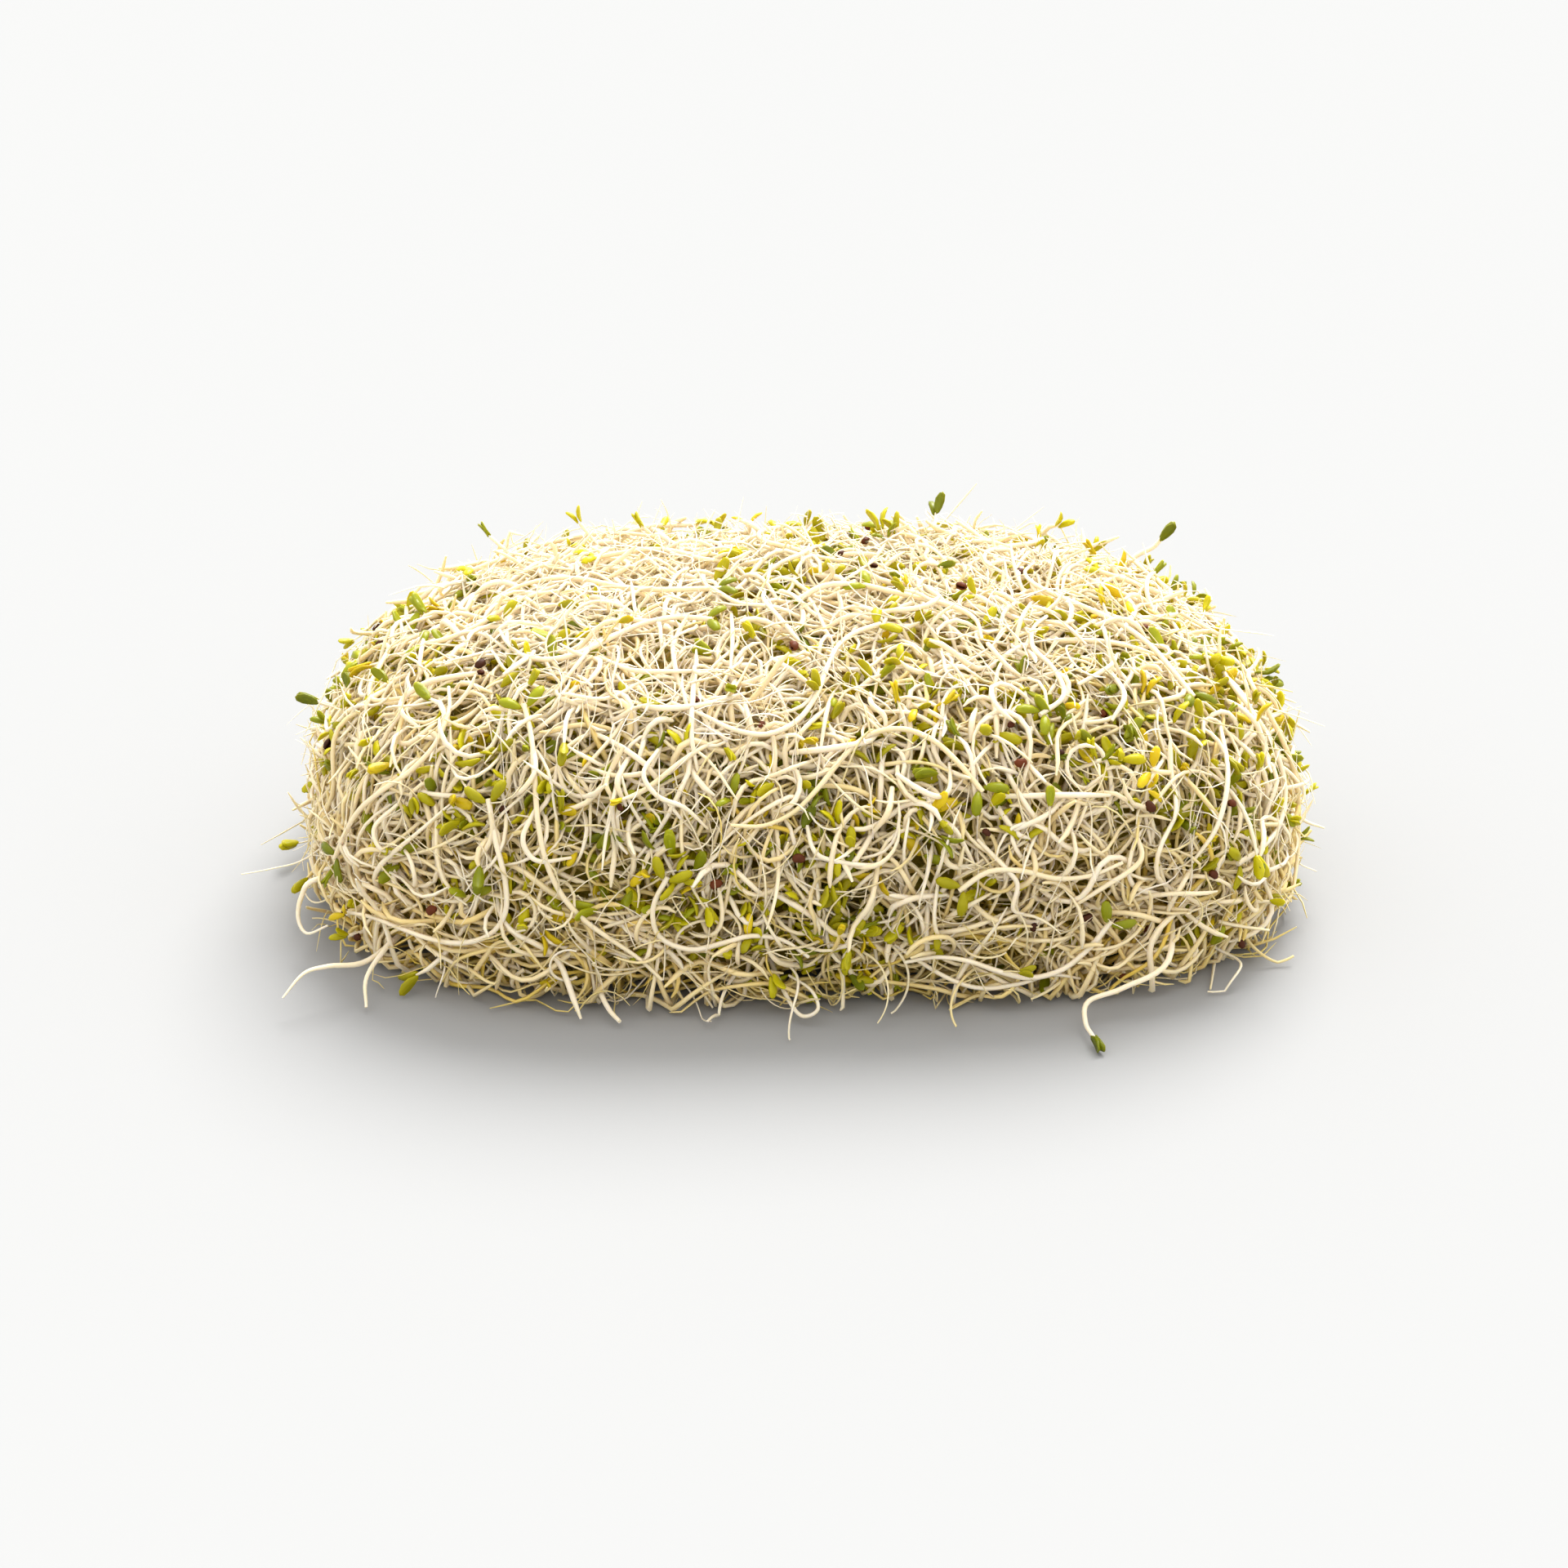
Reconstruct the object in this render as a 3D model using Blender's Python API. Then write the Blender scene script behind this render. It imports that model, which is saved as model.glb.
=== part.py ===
"""Alfalfa sprouts: a pressed pack of tangled seedlings that keeps the shape of the tray it grew in.

A dense mat of crossing white stems rests flat on its underside. Whole sprouts with their two seed
leaves lie loose on it, and brown hulls that the seedlings have shed are caught among the stems.
Metres, +Z up, the origin on the resting surface under the middle of the pack, +Y away from the viewer.
"""

import math
import random

import bmesh
import bpy
import numpy as np
from mathutils import Matrix, Vector

# The pack's outer size, over its topmost stems
PACK_WIDTH = 0.138
PACK_DEPTH = 0.092
PACK_HEIGHT = 0.046

# Its form: a rounded rectangle in plan, a pillow above its widest height and nearly upright below
WIDEST_HEIGHT = 0.014
PLAN_POWER = 3.1
TOP_POWER = 2.6
BASE_POWER = 7.0
BASE_DROP = 0.0015
MIDDLE = Vector((0, 0, WIDEST_HEIGHT))

# One seedling's parts
STEM_RADIUS = 0.0008
MAT_STEM_RADIUS = 0.0012
ROOT_TIP_RADIUS = 0.0003
LEAF_LENGTH = 0.0046
LEAF_WIDTH = 0.0024
LEAF_THICKNESS = 0.0007
LEAF_ARCH = 0.10
LEAF_SUNK = 0.0005
LEAF_SPREADS = (0.65, 1.15)
MAT_LEAF_SPREADS = (0.90, 1.20)
ONE_LEAF = (0.0, 0.5, 1.0)
TWO_LEAVES = (-1.0, -0.5, 0.0, 0.5, 1.0)
HULL_LENGTH = 0.0023
HULL_WIDTH = 0.0017
HULL_HEIGHT = 0.0013
HULL_DENT = 0.25

# The core's depth under the outer size, and the heights of the stems' middle lines over the core
CORE_INSET = 0.0056
LAYER_HEIGHTS = (0.0016, 0.0040)
LOOSE_HEIGHT = 0.0062
SUNK = 0.0020
LOWEST_STEM = 0.0014
LOWEST_LOOSE = 0.004

CORE_CUTS = 6
STEM_SIDES = 3
MAT_STEMS = 127
MAT_STEM_LENGTHS = (0.040, 0.070)
MAT_STEM_STEP = 0.0072
LEAST_STEPS = 4
MAT_LEAF_PAIRS = 36
LOOSE_SPROUTS = 38
LOOSE_LENGTHS = (0.022, 0.040)
LOOSE_STEP = 0.0042
SEED_HULLS = 16
STRAY_STEPS = 2

# How far apart the middle lines of neighbours stay: in one layer of stems, by a leaf, and when loose
STEM_SPACING = 0.0030
LEAF_SPACING = 0.0019
LOOSE_SPACING = 0.0031
MOST_TRIES = 400

# The stray stems that reach out of the pack: each runs from inside it through these points
STRAYS = (
    (
        "front_right",
        ((0.0480, -0.0340, 0.0110), (0.0462, -0.0450, 0.0068), (0.0400, -0.0475, 0.0042),
         (0.0352, -0.0492, 0.0032), (0.0345, -0.0520, 0.0016), (0.0352, -0.0556, 0.0012)),
        1,
    ),
    (
        "top_right",
        ((0.0440, 0.0220, 0.0320), (0.0500, 0.0265, 0.0368), (0.0535, 0.0275, 0.0385),
         (0.0548, 0.0275, 0.0400)),
        1,
    ),
    (
        "front_left_root",
        ((-0.0540, -0.0270, 0.0060), (-0.0600, -0.0360, 0.0045), (-0.0649, -0.0400, 0.0058),
         (-0.0680, -0.0420, 0.0058), (-0.0708, -0.0435, 0.0030)),
        0,
    ),
    (
        "left_curl",
        ((-0.0600, -0.0200, 0.0095), (-0.0678, -0.0240, 0.0108), (-0.0698, -0.0248, 0.0086),
         (-0.0703, -0.0258, 0.0058), (-0.0690, -0.0275, 0.0044), (-0.0660, -0.0288, 0.0062)),
        0,
    ),
    (
        "front_middle",
        ((-0.0310, -0.0330, 0.0070), (-0.0292, -0.0425, 0.0034), (-0.0278, -0.0462, 0.0018),
         (-0.0264, -0.0485, 0.0012)),
        1,
    ),
    (
        "left_leaf",
        ((-0.0570, -0.0010, 0.0225), (-0.0655, -0.0005, 0.0262), (-0.0690, 0.0, 0.0272)),
        1,
    ),
    (
        "right_root",
        ((0.0600, -0.0110, 0.0160), (0.0667, -0.0140, 0.0150), (0.0700, -0.0140, 0.0124),
         (0.0729, -0.0140, 0.0112)),
        0,
    ),
)

SURFACE_SEED = 11
LOOSE_SEED = 29
HULL_SEED = 47


def lump(direction):
    """The slight hills and hollows of a pack that was pressed by hand, as a factor on its reach."""
    wide = math.sin(5.0 * direction.x + 1.0) * math.cos(4.0 * direction.y - 0.5)
    tall = math.sin(6.0 * direction.z + 3.0 * direction.x)
    return 1.0 + 0.012 * wide + 0.010 * tall


def pack_point(direction, inset):
    """Where a line from the pack's middle leaves it, on a surface this far under its outer size."""
    plan = (
        abs(direction.x / (PACK_WIDTH / 2 - inset)) ** PLAN_POWER
        + abs(direction.y / (PACK_DEPTH / 2 - inset)) ** PLAN_POWER
    )
    if direction.z > 0:
        power = TOP_POWER
        rise = PACK_HEIGHT - WIDEST_HEIGHT - inset
    else:
        power = BASE_POWER
        rise = WIDEST_HEIGHT + BASE_DROP
    total = plan ** (power / PLAN_POWER) + abs(direction.z / rise) ** power
    return MIDDLE + direction * (total ** (-1 / power) * lump(direction))


def outward(direction):
    """The surface's normal there, from two short steps across it."""
    side = direction.cross(Vector((0, 0, 1)))
    if side.length < 1e-3:
        side = Vector((1, 0, 0))
    side.normalize()
    up = side.cross(direction)
    nudge = 0.02
    across = pack_point((direction + side * nudge).normalized(), CORE_INSET) - pack_point(
        (direction - side * nudge).normalized(), CORE_INSET
    )
    along = pack_point((direction + up * nudge).normalized(), CORE_INSET) - pack_point(
        (direction - up * nudge).normalized(), CORE_INSET
    )
    normal = across.cross(along).normalized()
    return normal if normal.dot(direction) > 0 else -normal


def random_direction(rng):
    """A direction to an even spread of places on the top and sides."""
    while True:
        spot = Vector((
            rng.uniform(-PACK_WIDTH, PACK_WIDTH) / 2,
            rng.uniform(-PACK_DEPTH, PACK_DEPTH) / 2,
            rng.uniform(-WIDEST_HEIGHT * 0.8, PACK_HEIGHT - WIDEST_HEIGHT),
        ))
        direction = spot.normalized()
        reach = (pack_point(direction, 0) - MIDDLE).length
        if 0.8 * reach < spot.length < reach:
            return direction


def stem_way(rng, start, lengths, step):
    """The directions from the middle to each point of a stem that wanders over the pack."""
    steps = round(rng.uniform(*lengths) / step)
    normal = outward(start)
    flat = normal.cross(Vector((0, 0, 1)))
    if flat.length < 0.3:
        flat = Vector((1, 0, 0)).cross(normal)
    lean = rng.uniform(-math.pi, math.pi) if normal.z > 0.6 else rng.gauss(0, 0.6)
    forward = Matrix.Rotation(lean, 3, normal) @ flat.normalized()
    if rng.random() < 0.5:
        forward = -forward
    swing = rng.uniform(0.5, 1.9)
    phase = rng.uniform(0, math.tau)
    bend = rng.uniform(-1.6, 1.6)
    directions = [start]
    here = pack_point(start, CORE_INSET)
    for i in range(steps):
        share = i / steps
        turn = (bend + swing * math.tau * math.cos(math.tau * share + phase) / 2) / steps
        forward = Matrix.Rotation(turn, 3, normal) @ forward
        forward = (forward - normal * forward.dot(normal)).normalized()
        direction = (here + forward * step - MIDDLE).normalized()
        directions.append(direction)
        here = pack_point(direction, CORE_INSET)
        normal = outward(direction)
    return directions


def over_core(direction, height):
    """A point this high over the core, kept off the surface that the pack stands on."""
    point = pack_point(direction, CORE_INSET) + outward(direction) * height
    point.z = max(point.z, LOWEST_STEM)
    return point


def tube(name, points, radii, sides):
    """A closed tube along the points, with a ring of this many sides at each."""
    bm = bmesh.new()
    rings = []
    across = None
    for i, point in enumerate(points):
        before = points[max(i - 1, 0)]
        after = points[min(i + 1, len(points) - 1)]
        ahead = (after - before).normalized()
        if across is None:
            across = ahead.orthogonal()
        across = (across - ahead * across.dot(ahead)).normalized()
        other = ahead.cross(across)
        ring = []
        for k in range(sides):
            angle = math.tau * k / sides
            offset = across * math.cos(angle) + other * math.sin(angle)
            ring.append(bm.verts.new(point + offset * radii[i]))
        rings.append(ring)
    for one, two in zip(rings, rings[1:]):
        for k in range(sides):
            after = (k + 1) % sides
            bm.faces.new((one[k], one[after], two[after], two[k]))
    bm.faces.new(tuple(reversed(rings[0])))
    bm.faces.new(rings[-1])
    return finished(name, bm)


def half_width(share):
    """Half a seed leaf's width at this share of its length: narrow at its stalk, blunt at its tip."""
    return LEAF_WIDTH * (0.20 + 0.30 * math.sin(math.pi * abs(share)))


def seed_leaves(name, base, ahead, up, length, shares, spread=0.0):
    """One seed leaf, or both as one thin body that opens like a V from the top of the stem."""
    ahead = ahead.normalized()
    side = up.cross(ahead).normalized()
    up = ahead.cross(side)
    bm = bmesh.new()
    rings = []
    for share in shares:
        sign = math.copysign(1, share)
        way = ahead * math.cos(spread) + side * (math.sin(spread) * sign)
        path = side if share == 0 and len(shares) == len(TWO_LEAVES) else way * sign
        arch = math.sin(math.pi * abs(share)) * LEAF_ARCH * length
        middle = base + way * (abs(share) * length) + up * arch
        half = up.cross(path) * half_width(share)
        thick = up * (LEAF_THICKNESS / 2)
        corners = (middle - half - thick, middle + half - thick)
        corners += (middle + half + thick, middle - half + thick)
        rings.append([bm.verts.new(corner) for corner in corners])
    for one, two in zip(rings, rings[1:]):
        for k in range(4):
            after = (k + 1) % 4
            bm.faces.new((one[k], one[after], two[after], two[k]))
    bm.faces.new(tuple(reversed(rings[0])))
    bm.faces.new(rings[-1])
    return finished(name, bm)


def finished(name, bm):
    """The shape as an object of its own, with its faces pointing out."""
    bmesh.ops.triangulate(bm, faces=bm.faces[:])
    bmesh.ops.recalc_face_normals(bm, faces=bm.faces[:])
    mesh = bpy.data.meshes.new(name)
    bm.to_mesh(mesh)
    bm.free()
    return bpy.data.objects.new(name, mesh)


def fuse(body, pieces):
    """One Boolean union joins the pieces to the body, and only the body stays."""
    group = bpy.data.collections.new(body.name + "_pieces")
    bpy.context.scene.collection.children.link(group)
    for piece in pieces:
        group.objects.link(piece)
    union = body.modifiers.new("join", "BOOLEAN")
    union.operation = "UNION"
    union.operand_type = "COLLECTION"
    union.collection = group
    union.solver = "MANIFOLD"
    with bpy.context.temp_override(object=body, active_object=body):
        bpy.ops.object.modifier_apply(modifier=union.name)
    for piece in list(group.objects):
        bpy.data.objects.remove(piece)
    bpy.data.collections.remove(group)


def core():
    """The pressed heart of the mat, which its outer stems stand out of, cut flat underneath."""
    bm = bmesh.new()
    bmesh.ops.create_cube(bm, size=2.0)
    bmesh.ops.subdivide_edges(bm, edges=bm.edges[:], cuts=CORE_CUTS, use_grid_fill=True)
    for vert in bm.verts:
        box = Vector((vert.co.x * PACK_WIDTH, vert.co.y * PACK_DEPTH, vert.co.z * PACK_HEIGHT))
        vert.co = pack_point(box.normalized(), CORE_INSET)
    cut = bmesh.ops.bisect_plane(
        bm, geom=bm.verts[:] + bm.edges[:] + bm.faces[:], dist=1e-6,
        plane_co=(0, 0, 0), plane_no=(0, 0, -1), clear_outer=True,
    )
    rim = [item for item in cut["geom_cut"] if isinstance(item, bmesh.types.BMEdge)]
    bmesh.ops.contextual_create(bm, geom=rim)
    return finished("sprout_mat", bm)


def with_middles(points):
    """The points with one more halfway along each stretch, as a fine enough measure of a stem."""
    return points + [(a + b) / 2 for a, b in zip(points, points[1:])]


def clear_of(points, taken, spacing):
    """Whether each of the points keeps this distance from all that is placed."""
    if not taken:
        return True
    gaps = np.array(points)[:, None, :] - np.array(taken)[None, :, :]
    return bool((np.linalg.norm(gaps, axis=2) > spacing).all())


def mat_stems(layers):
    """The stems woven over the mat's outside, in two layers, each grown from deep in the core."""
    rng = random.Random(SURFACE_SEED)
    made = []
    for i in range(MAT_STEMS):
        layer = i % len(LAYER_HEIGHTS)
        for _ in range(MOST_TRIES):
            way = stem_way(rng, random_direction(rng), MAT_STEM_LENGTHS, MAT_STEM_STEP)
            line = [over_core(direction, LAYER_HEIGHTS[layer]) for direction in way]
            free = 1
            while free < len(line):
                stretch = with_middles(line[free - 1:free + 1])[1:]
                if not clear_of(stretch, layers[layer], STEM_SPACING):
                    break
                free += 1
            if free > LEAST_STEPS:
                points = [over_core(way[0], -SUNK)] + line[1:free]
                made.append(tube(f"stem_{i}", points, [MAT_STEM_RADIUS] * free, STEM_SIDES))
                layers[layer].extend(with_middles(points))
                break
    return made


def leaf_tips(base, ahead, up, length, spread):
    """Points at the middle and the tip of both leaves of a pair."""
    side = up.cross(ahead).normalized()
    ways = [ahead * math.cos(spread) + side * (math.sin(spread) * sign) for sign in (-1, 1)]
    return [base + way * (length * share) for way in ways for share in (0.5, 1.0)]


def mat_leaves(taken):
    """Pairs of seed leaves that open between the mat's stems, with their stalks sunk in the core."""
    rng = random.Random(SURFACE_SEED + 1)
    made = []
    for i in range(MAT_LEAF_PAIRS):
        for _ in range(MOST_TRIES):
            direction = random_direction(rng)
            normal = outward(direction)
            base = over_core(direction, -0.0004)
            flat = Matrix.Rotation(rng.uniform(0, math.tau), 3, normal) @ normal.orthogonal()
            ahead = (normal + flat * rng.uniform(0.0, 0.7)).normalized()
            up = flat - ahead * flat.dot(ahead)
            spread = rng.uniform(*MAT_LEAF_SPREADS)
            length = LEAF_LENGTH * rng.uniform(0.9, 1.1)
            shape = [base] + leaf_tips(base, ahead, up, length, spread)
            if min(p.z for p in shape) > LOWEST_STEM and clear_of(shape, taken, LEAF_SPACING):
                made.append(seed_leaves(f"pair_{i}", base, ahead, up, length, TWO_LEAVES, spread))
                taken.extend(shape)
                break
    return made


def smooth_points(points, steps):
    """Evenly counted points on a smooth curve through the given ones."""
    line = [Vector(p) for p in points]
    ends = [2 * line[0] - line[1]] + line + [2 * line[-1] - line[-2]]
    found = []
    for a, b, c, d in zip(ends, ends[1:], ends[2:], ends[3:]):
        for k in range(steps):
            t = k / steps
            found.append(
                0.5 * (2 * b + (c - a) * t + (2 * a - 5 * b + 4 * c - d) * t * t
                       + (3 * b - a - 3 * c + d) * t * t * t)
            )
    return found + [line[-1]]


def stray_pieces():
    """The stems that reach out of the pack, with a seed leaf or two at the free end, or a root's tip."""
    made = []
    for name, points, leaves in STRAYS:
        line = smooth_points(points, STRAY_STEPS)
        count = len(line) - 1
        thin = ROOT_TIP_RADIUS if leaves == 0 else STEM_RADIUS * 0.7
        radii = [STEM_RADIUS + (thin - STEM_RADIUS) * (i / count) ** 2 for i in range(count + 1)]
        made.append(tube("stray_" + name, line, radii, STEM_SIDES))
        ahead = (line[-1] - line[-2]).normalized()
        side = ahead.cross(Vector((0, 0, 1))).normalized()
        up = side.cross(ahead)
        base = line[-1] - ahead * LEAF_SUNK
        length = LEAF_LENGTH * 0.9
        if leaves == 1:
            made.append(seed_leaves("stray_leaf_" + name, base, ahead, up, length, ONE_LEAF))
        if leaves == 2:
            made.append(seed_leaves("stray_leaves_" + name, base, ahead, up, length, TWO_LEAVES, 0.6))
    return made


def sprout_mat():
    """The mat of sprouts: its core with all that grows out of it."""
    mat = core()
    bpy.context.scene.collection.objects.link(mat)
    layers = [[] for _ in LAYER_HEIGHTS]
    stems = mat_stems(layers)
    fuse(mat, stems + mat_leaves(sum(layers, [])) + stray_pieces())
    return mat


def loose_sprout(index, taken):
    """One whole sprout on the mat: root tip, stem and two seed leaves, grown as one piece."""
    for attempt in range(MOST_TRIES):
        rng = random.Random(LOOSE_SEED + 1000 * index + attempt)
        way = stem_way(rng, random_direction(rng), LOOSE_LENGTHS, LOOSE_STEP)
        line = [over_core(direction, LOOSE_HEIGHT) for direction in way]
        normal = outward(way[-1])
        ahead = (line[-1] - line[-2]).normalized()
        base = line[-1] - ahead * LEAF_SUNK
        ahead = (ahead + normal * 0.15).normalized()
        spread = rng.uniform(*LEAF_SPREADS)
        shape = with_middles(line) + leaf_tips(base, ahead, normal, LEAF_LENGTH, spread)
        if min(p.z for p in shape) > LOWEST_LOOSE and clear_of(shape, taken, LOOSE_SPACING):
            break
    else:
        raise RuntimeError(f"no room for loose sprout {index}")
    radii = [ROOT_TIP_RADIUS + (STEM_RADIUS - ROOT_TIP_RADIUS) * min(1, 3 * i / len(line))
             for i in range(len(line))]
    body = tube(f"loose_sprout_{index:02d}", line, radii, STEM_SIDES)
    bpy.context.scene.collection.objects.link(body)
    name = f"seed_leaves_{index:02d}"
    fuse(body, [seed_leaves(name, base, ahead, normal, LEAF_LENGTH, TWO_LEAVES, spread)])
    taken.extend(shape)
    return body


def seed_hull(index, taken):
    """A shed seed coat: a small bean, dented along the side where it split."""
    for attempt in range(MOST_TRIES):
        rng = random.Random(HULL_SEED + 1000 * index + attempt)
        direction = random_direction(rng)
        spot = over_core(direction, LOOSE_HEIGHT)
        if spot.z > LOWEST_LOOSE and clear_of([spot], taken, LOOSE_SPACING):
            break
    else:
        raise RuntimeError(f"no room for seed hull {index}")
    bm = bmesh.new()
    bmesh.ops.create_uvsphere(bm, u_segments=6, v_segments=5, radius=0.5)
    for vert in bm.verts:
        dent = HULL_DENT * math.exp(-((vert.co.x / 0.2) ** 2)) * max(0, vert.co.y)
        vert.co.x *= HULL_LENGTH
        vert.co.y = (vert.co.y - dent) * HULL_WIDTH
        vert.co.z *= HULL_HEIGHT
    normal = outward(direction)
    upright = normal.to_track_quat("Z", "Y").to_matrix().to_4x4()
    turn = Matrix.Rotation(rng.uniform(0, math.tau), 4, normal)
    bm.transform(Matrix.Translation(spot) @ turn @ upright)
    hull = finished(f"seed_hull_{index:02d}", bm)
    bpy.context.scene.collection.objects.link(hull)
    taken.append(spot)
    return hull


def paint(obj, name, colour, roughness):
    """Gives an object a plain finish, shared by all that have the same name."""
    material = bpy.data.materials.get(name) or bpy.data.materials.new(name)
    material.use_nodes = True
    shader = material.node_tree.nodes["Principled BSDF"]
    shader.inputs["Base Color"].default_value = (*colour, 1)
    shader.inputs["Roughness"].default_value = roughness
    obj.data.materials.clear()
    obj.data.materials.append(material)


def main():
    for old in list(bpy.data.objects):
        bpy.data.objects.remove(old)
    paint(sprout_mat(), "sprout_stem", (0.86, 0.83, 0.68), 0.45)
    taken = [point for _, points, _ in STRAYS for point in smooth_points(points, STRAY_STEPS)]
    for index in range(1, LOOSE_SPROUTS + 1):
        paint(loose_sprout(index, taken), "young_leaf", (0.62, 0.70, 0.25), 0.45)
    for index in range(1, SEED_HULLS + 1):
        paint(seed_hull(index, taken), "seed_hull", (0.30, 0.10, 0.04), 0.55)


main()
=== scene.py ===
"""Alfalfa sprouts: the looks of a pressed pack of tangled seedlings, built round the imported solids."""

import math
import random

import bmesh
import bpy
import numpy as np
from mathutils import Matrix, Vector
from mathutils.kdtree import KDTree


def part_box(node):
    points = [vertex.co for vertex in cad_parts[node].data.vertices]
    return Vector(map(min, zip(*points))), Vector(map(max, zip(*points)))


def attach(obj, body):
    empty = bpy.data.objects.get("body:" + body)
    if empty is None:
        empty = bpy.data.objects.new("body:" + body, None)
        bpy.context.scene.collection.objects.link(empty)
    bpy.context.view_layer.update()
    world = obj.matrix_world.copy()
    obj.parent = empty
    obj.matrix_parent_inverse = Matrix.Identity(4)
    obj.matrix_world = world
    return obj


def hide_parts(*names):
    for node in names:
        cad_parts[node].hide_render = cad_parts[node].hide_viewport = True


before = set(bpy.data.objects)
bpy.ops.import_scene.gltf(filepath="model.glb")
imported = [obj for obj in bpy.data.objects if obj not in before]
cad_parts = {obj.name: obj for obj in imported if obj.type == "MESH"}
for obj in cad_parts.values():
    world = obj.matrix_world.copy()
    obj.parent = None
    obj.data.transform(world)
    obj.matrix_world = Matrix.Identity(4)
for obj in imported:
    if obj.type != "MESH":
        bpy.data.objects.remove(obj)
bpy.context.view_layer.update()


# The pressed heart of the pack
# Thousands of stems, squeezed together in the tray until no single one can be told apart.
# A block that is rounded to the tray's form, roughened all over and cut flat underneath, in a dark olive
# brown that is painted shade for the depths between the stems.
PACK_WIDTH = 0.138
PACK_DEPTH = 0.092
PACK_HEIGHT = 0.046
WIDEST_HEIGHT = 0.014
PLAN_POWER = 3.1
TOP_POWER = 2.6
BASE_POWER = 7.0
BASE_DROP = 0.0015
MIDDLE = Vector((0, 0, WIDEST_HEIGHT))
CORE_INSET = 0.0056
HEART_INSET = 0.0085
HEART_BASE = 0.0022
HEART_CUTS = 30
HEART_ROUGHNESS = 0.0009
HEART_TONE = 0.55
WIDE_HILLS = 0.012
TALL_HILLS = 0.010
TISSUE_SHINE = 0.2
TISSUE_BUMP = 0.5
GLOW_DEPTH = 0.0008
GLOW_COLOUR = (1.0, 0.80, 0.35)


def lump(direction):
    """The slight hills and hollows of a pack that was pressed by hand, as a factor on its reach."""
    wide = math.sin(5.0 * direction.x + 1.0) * math.cos(4.0 * direction.y - 0.5)
    tall = math.sin(6.0 * direction.z + 3.0 * direction.x)
    return 1.0 + WIDE_HILLS * wide + TALL_HILLS * tall


def pack_point(direction, inset):
    """Where a line from the pack's middle leaves it, on a surface this far under its outer size."""
    plan = (
        abs(direction.x / (PACK_WIDTH / 2 - inset)) ** PLAN_POWER
        + abs(direction.y / (PACK_DEPTH / 2 - inset)) ** PLAN_POWER
    )
    if direction.z > 0:
        power = TOP_POWER
        rise = PACK_HEIGHT - WIDEST_HEIGHT - inset
    else:
        power = BASE_POWER
        rise = WIDEST_HEIGHT + BASE_DROP
    total = plan ** (power / PLAN_POWER) + abs(direction.z / rise) ** power
    return MIDDLE + direction * (total ** (-1 / power) * lump(direction))


def select_only(obj):
    """Makes this object the only selected one, and the active one."""
    bpy.ops.object.select_all(action="DESELECT")
    obj.select_set(True)
    bpy.context.view_layer.objects.active = obj


def socket(group, name, way, kind, value=None):
    """Adds one named socket to a node group."""
    made = group.interface.new_socket(name=name, in_out=way, socket_type=kind)
    if value is not None:
        made.default_value = value
    return made


def tissue_group():
    """Living tissue: pale to deep by tone and in soft blotches, the deep colour in wide drifts of two."""
    group = bpy.data.node_groups.new("plant_tissue", "ShaderNodeTree")
    socket(group, "Pale", "INPUT", "NodeSocketColor", (1, 1, 1, 1))
    socket(group, "Deep", "INPUT", "NodeSocketColor", (0.5, 0.5, 0.5, 1))
    socket(group, "Drift", "INPUT", "NodeSocketColor", (0.5, 0.5, 0.5, 1))
    socket(group, "Tone", "INPUT", "NodeSocketFloat", 0.5)
    socket(group, "Blotch size", "INPUT", "NodeSocketFloat", 300.0)
    socket(group, "Blotch depth", "INPUT", "NodeSocketFloat", 0.4)
    socket(group, "Skin size", "INPUT", "NodeSocketFloat", 1800.0)
    socket(group, "Colour", "OUTPUT", "NodeSocketColor")
    socket(group, "Height", "OUTPUT", "NodeSocketFloat")
    nodes = group.nodes
    links = group.links
    inlet = nodes.new("NodeGroupInput")
    outlet = nodes.new("NodeGroupOutput")
    place = nodes.new("ShaderNodeTexCoord")
    blotch = nodes.new("ShaderNodeTexNoise")
    blotch.inputs["Detail"].default_value = 3.0
    links.new(place.outputs["Object"], blotch.inputs["Vector"])
    links.new(inlet.outputs["Blotch size"], blotch.inputs["Scale"])
    centred = nodes.new("ShaderNodeMath")
    centred.operation = "SUBTRACT"
    centred.inputs[1].default_value = 0.5
    links.new(blotch.outputs["Fac"], centred.inputs[0])
    spread = nodes.new("ShaderNodeMath")
    spread.operation = "MULTIPLY_ADD"
    spread.use_clamp = True
    links.new(centred.outputs[0], spread.inputs[0])
    links.new(inlet.outputs["Blotch depth"], spread.inputs[1])
    links.new(inlet.outputs["Tone"], spread.inputs[2])
    drift = nodes.new("ShaderNodeTexNoise")
    drift.inputs["Scale"].default_value = 45.0
    links.new(place.outputs["Object"], drift.inputs["Vector"])
    parted = nodes.new("ShaderNodeMapRange")
    parted.inputs["From Min"].default_value = 0.42
    parted.inputs["From Max"].default_value = 0.58
    links.new(drift.outputs["Fac"], parted.inputs["Value"])
    shade = nodes.new("ShaderNodeMix")
    shade.data_type = "RGBA"
    links.new(parted.outputs["Result"], shade.inputs["Factor"])
    links.new(inlet.outputs["Deep"], shade.inputs["A"])
    links.new(inlet.outputs["Drift"], shade.inputs["B"])
    mix = nodes.new("ShaderNodeMix")
    mix.data_type = "RGBA"
    links.new(spread.outputs[0], mix.inputs["Factor"])
    links.new(inlet.outputs["Pale"], mix.inputs["A"])
    links.new(shade.outputs["Result"], mix.inputs["B"])
    links.new(mix.outputs["Result"], outlet.inputs["Colour"])
    skin = nodes.new("ShaderNodeTexNoise")
    skin.inputs["Detail"].default_value = 2.0
    links.new(place.outputs["Object"], skin.inputs["Vector"])
    links.new(inlet.outputs["Skin size"], skin.inputs["Scale"])
    links.new(skin.outputs["Fac"], outlet.inputs["Height"])
    return group


TISSUE = tissue_group()


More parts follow.
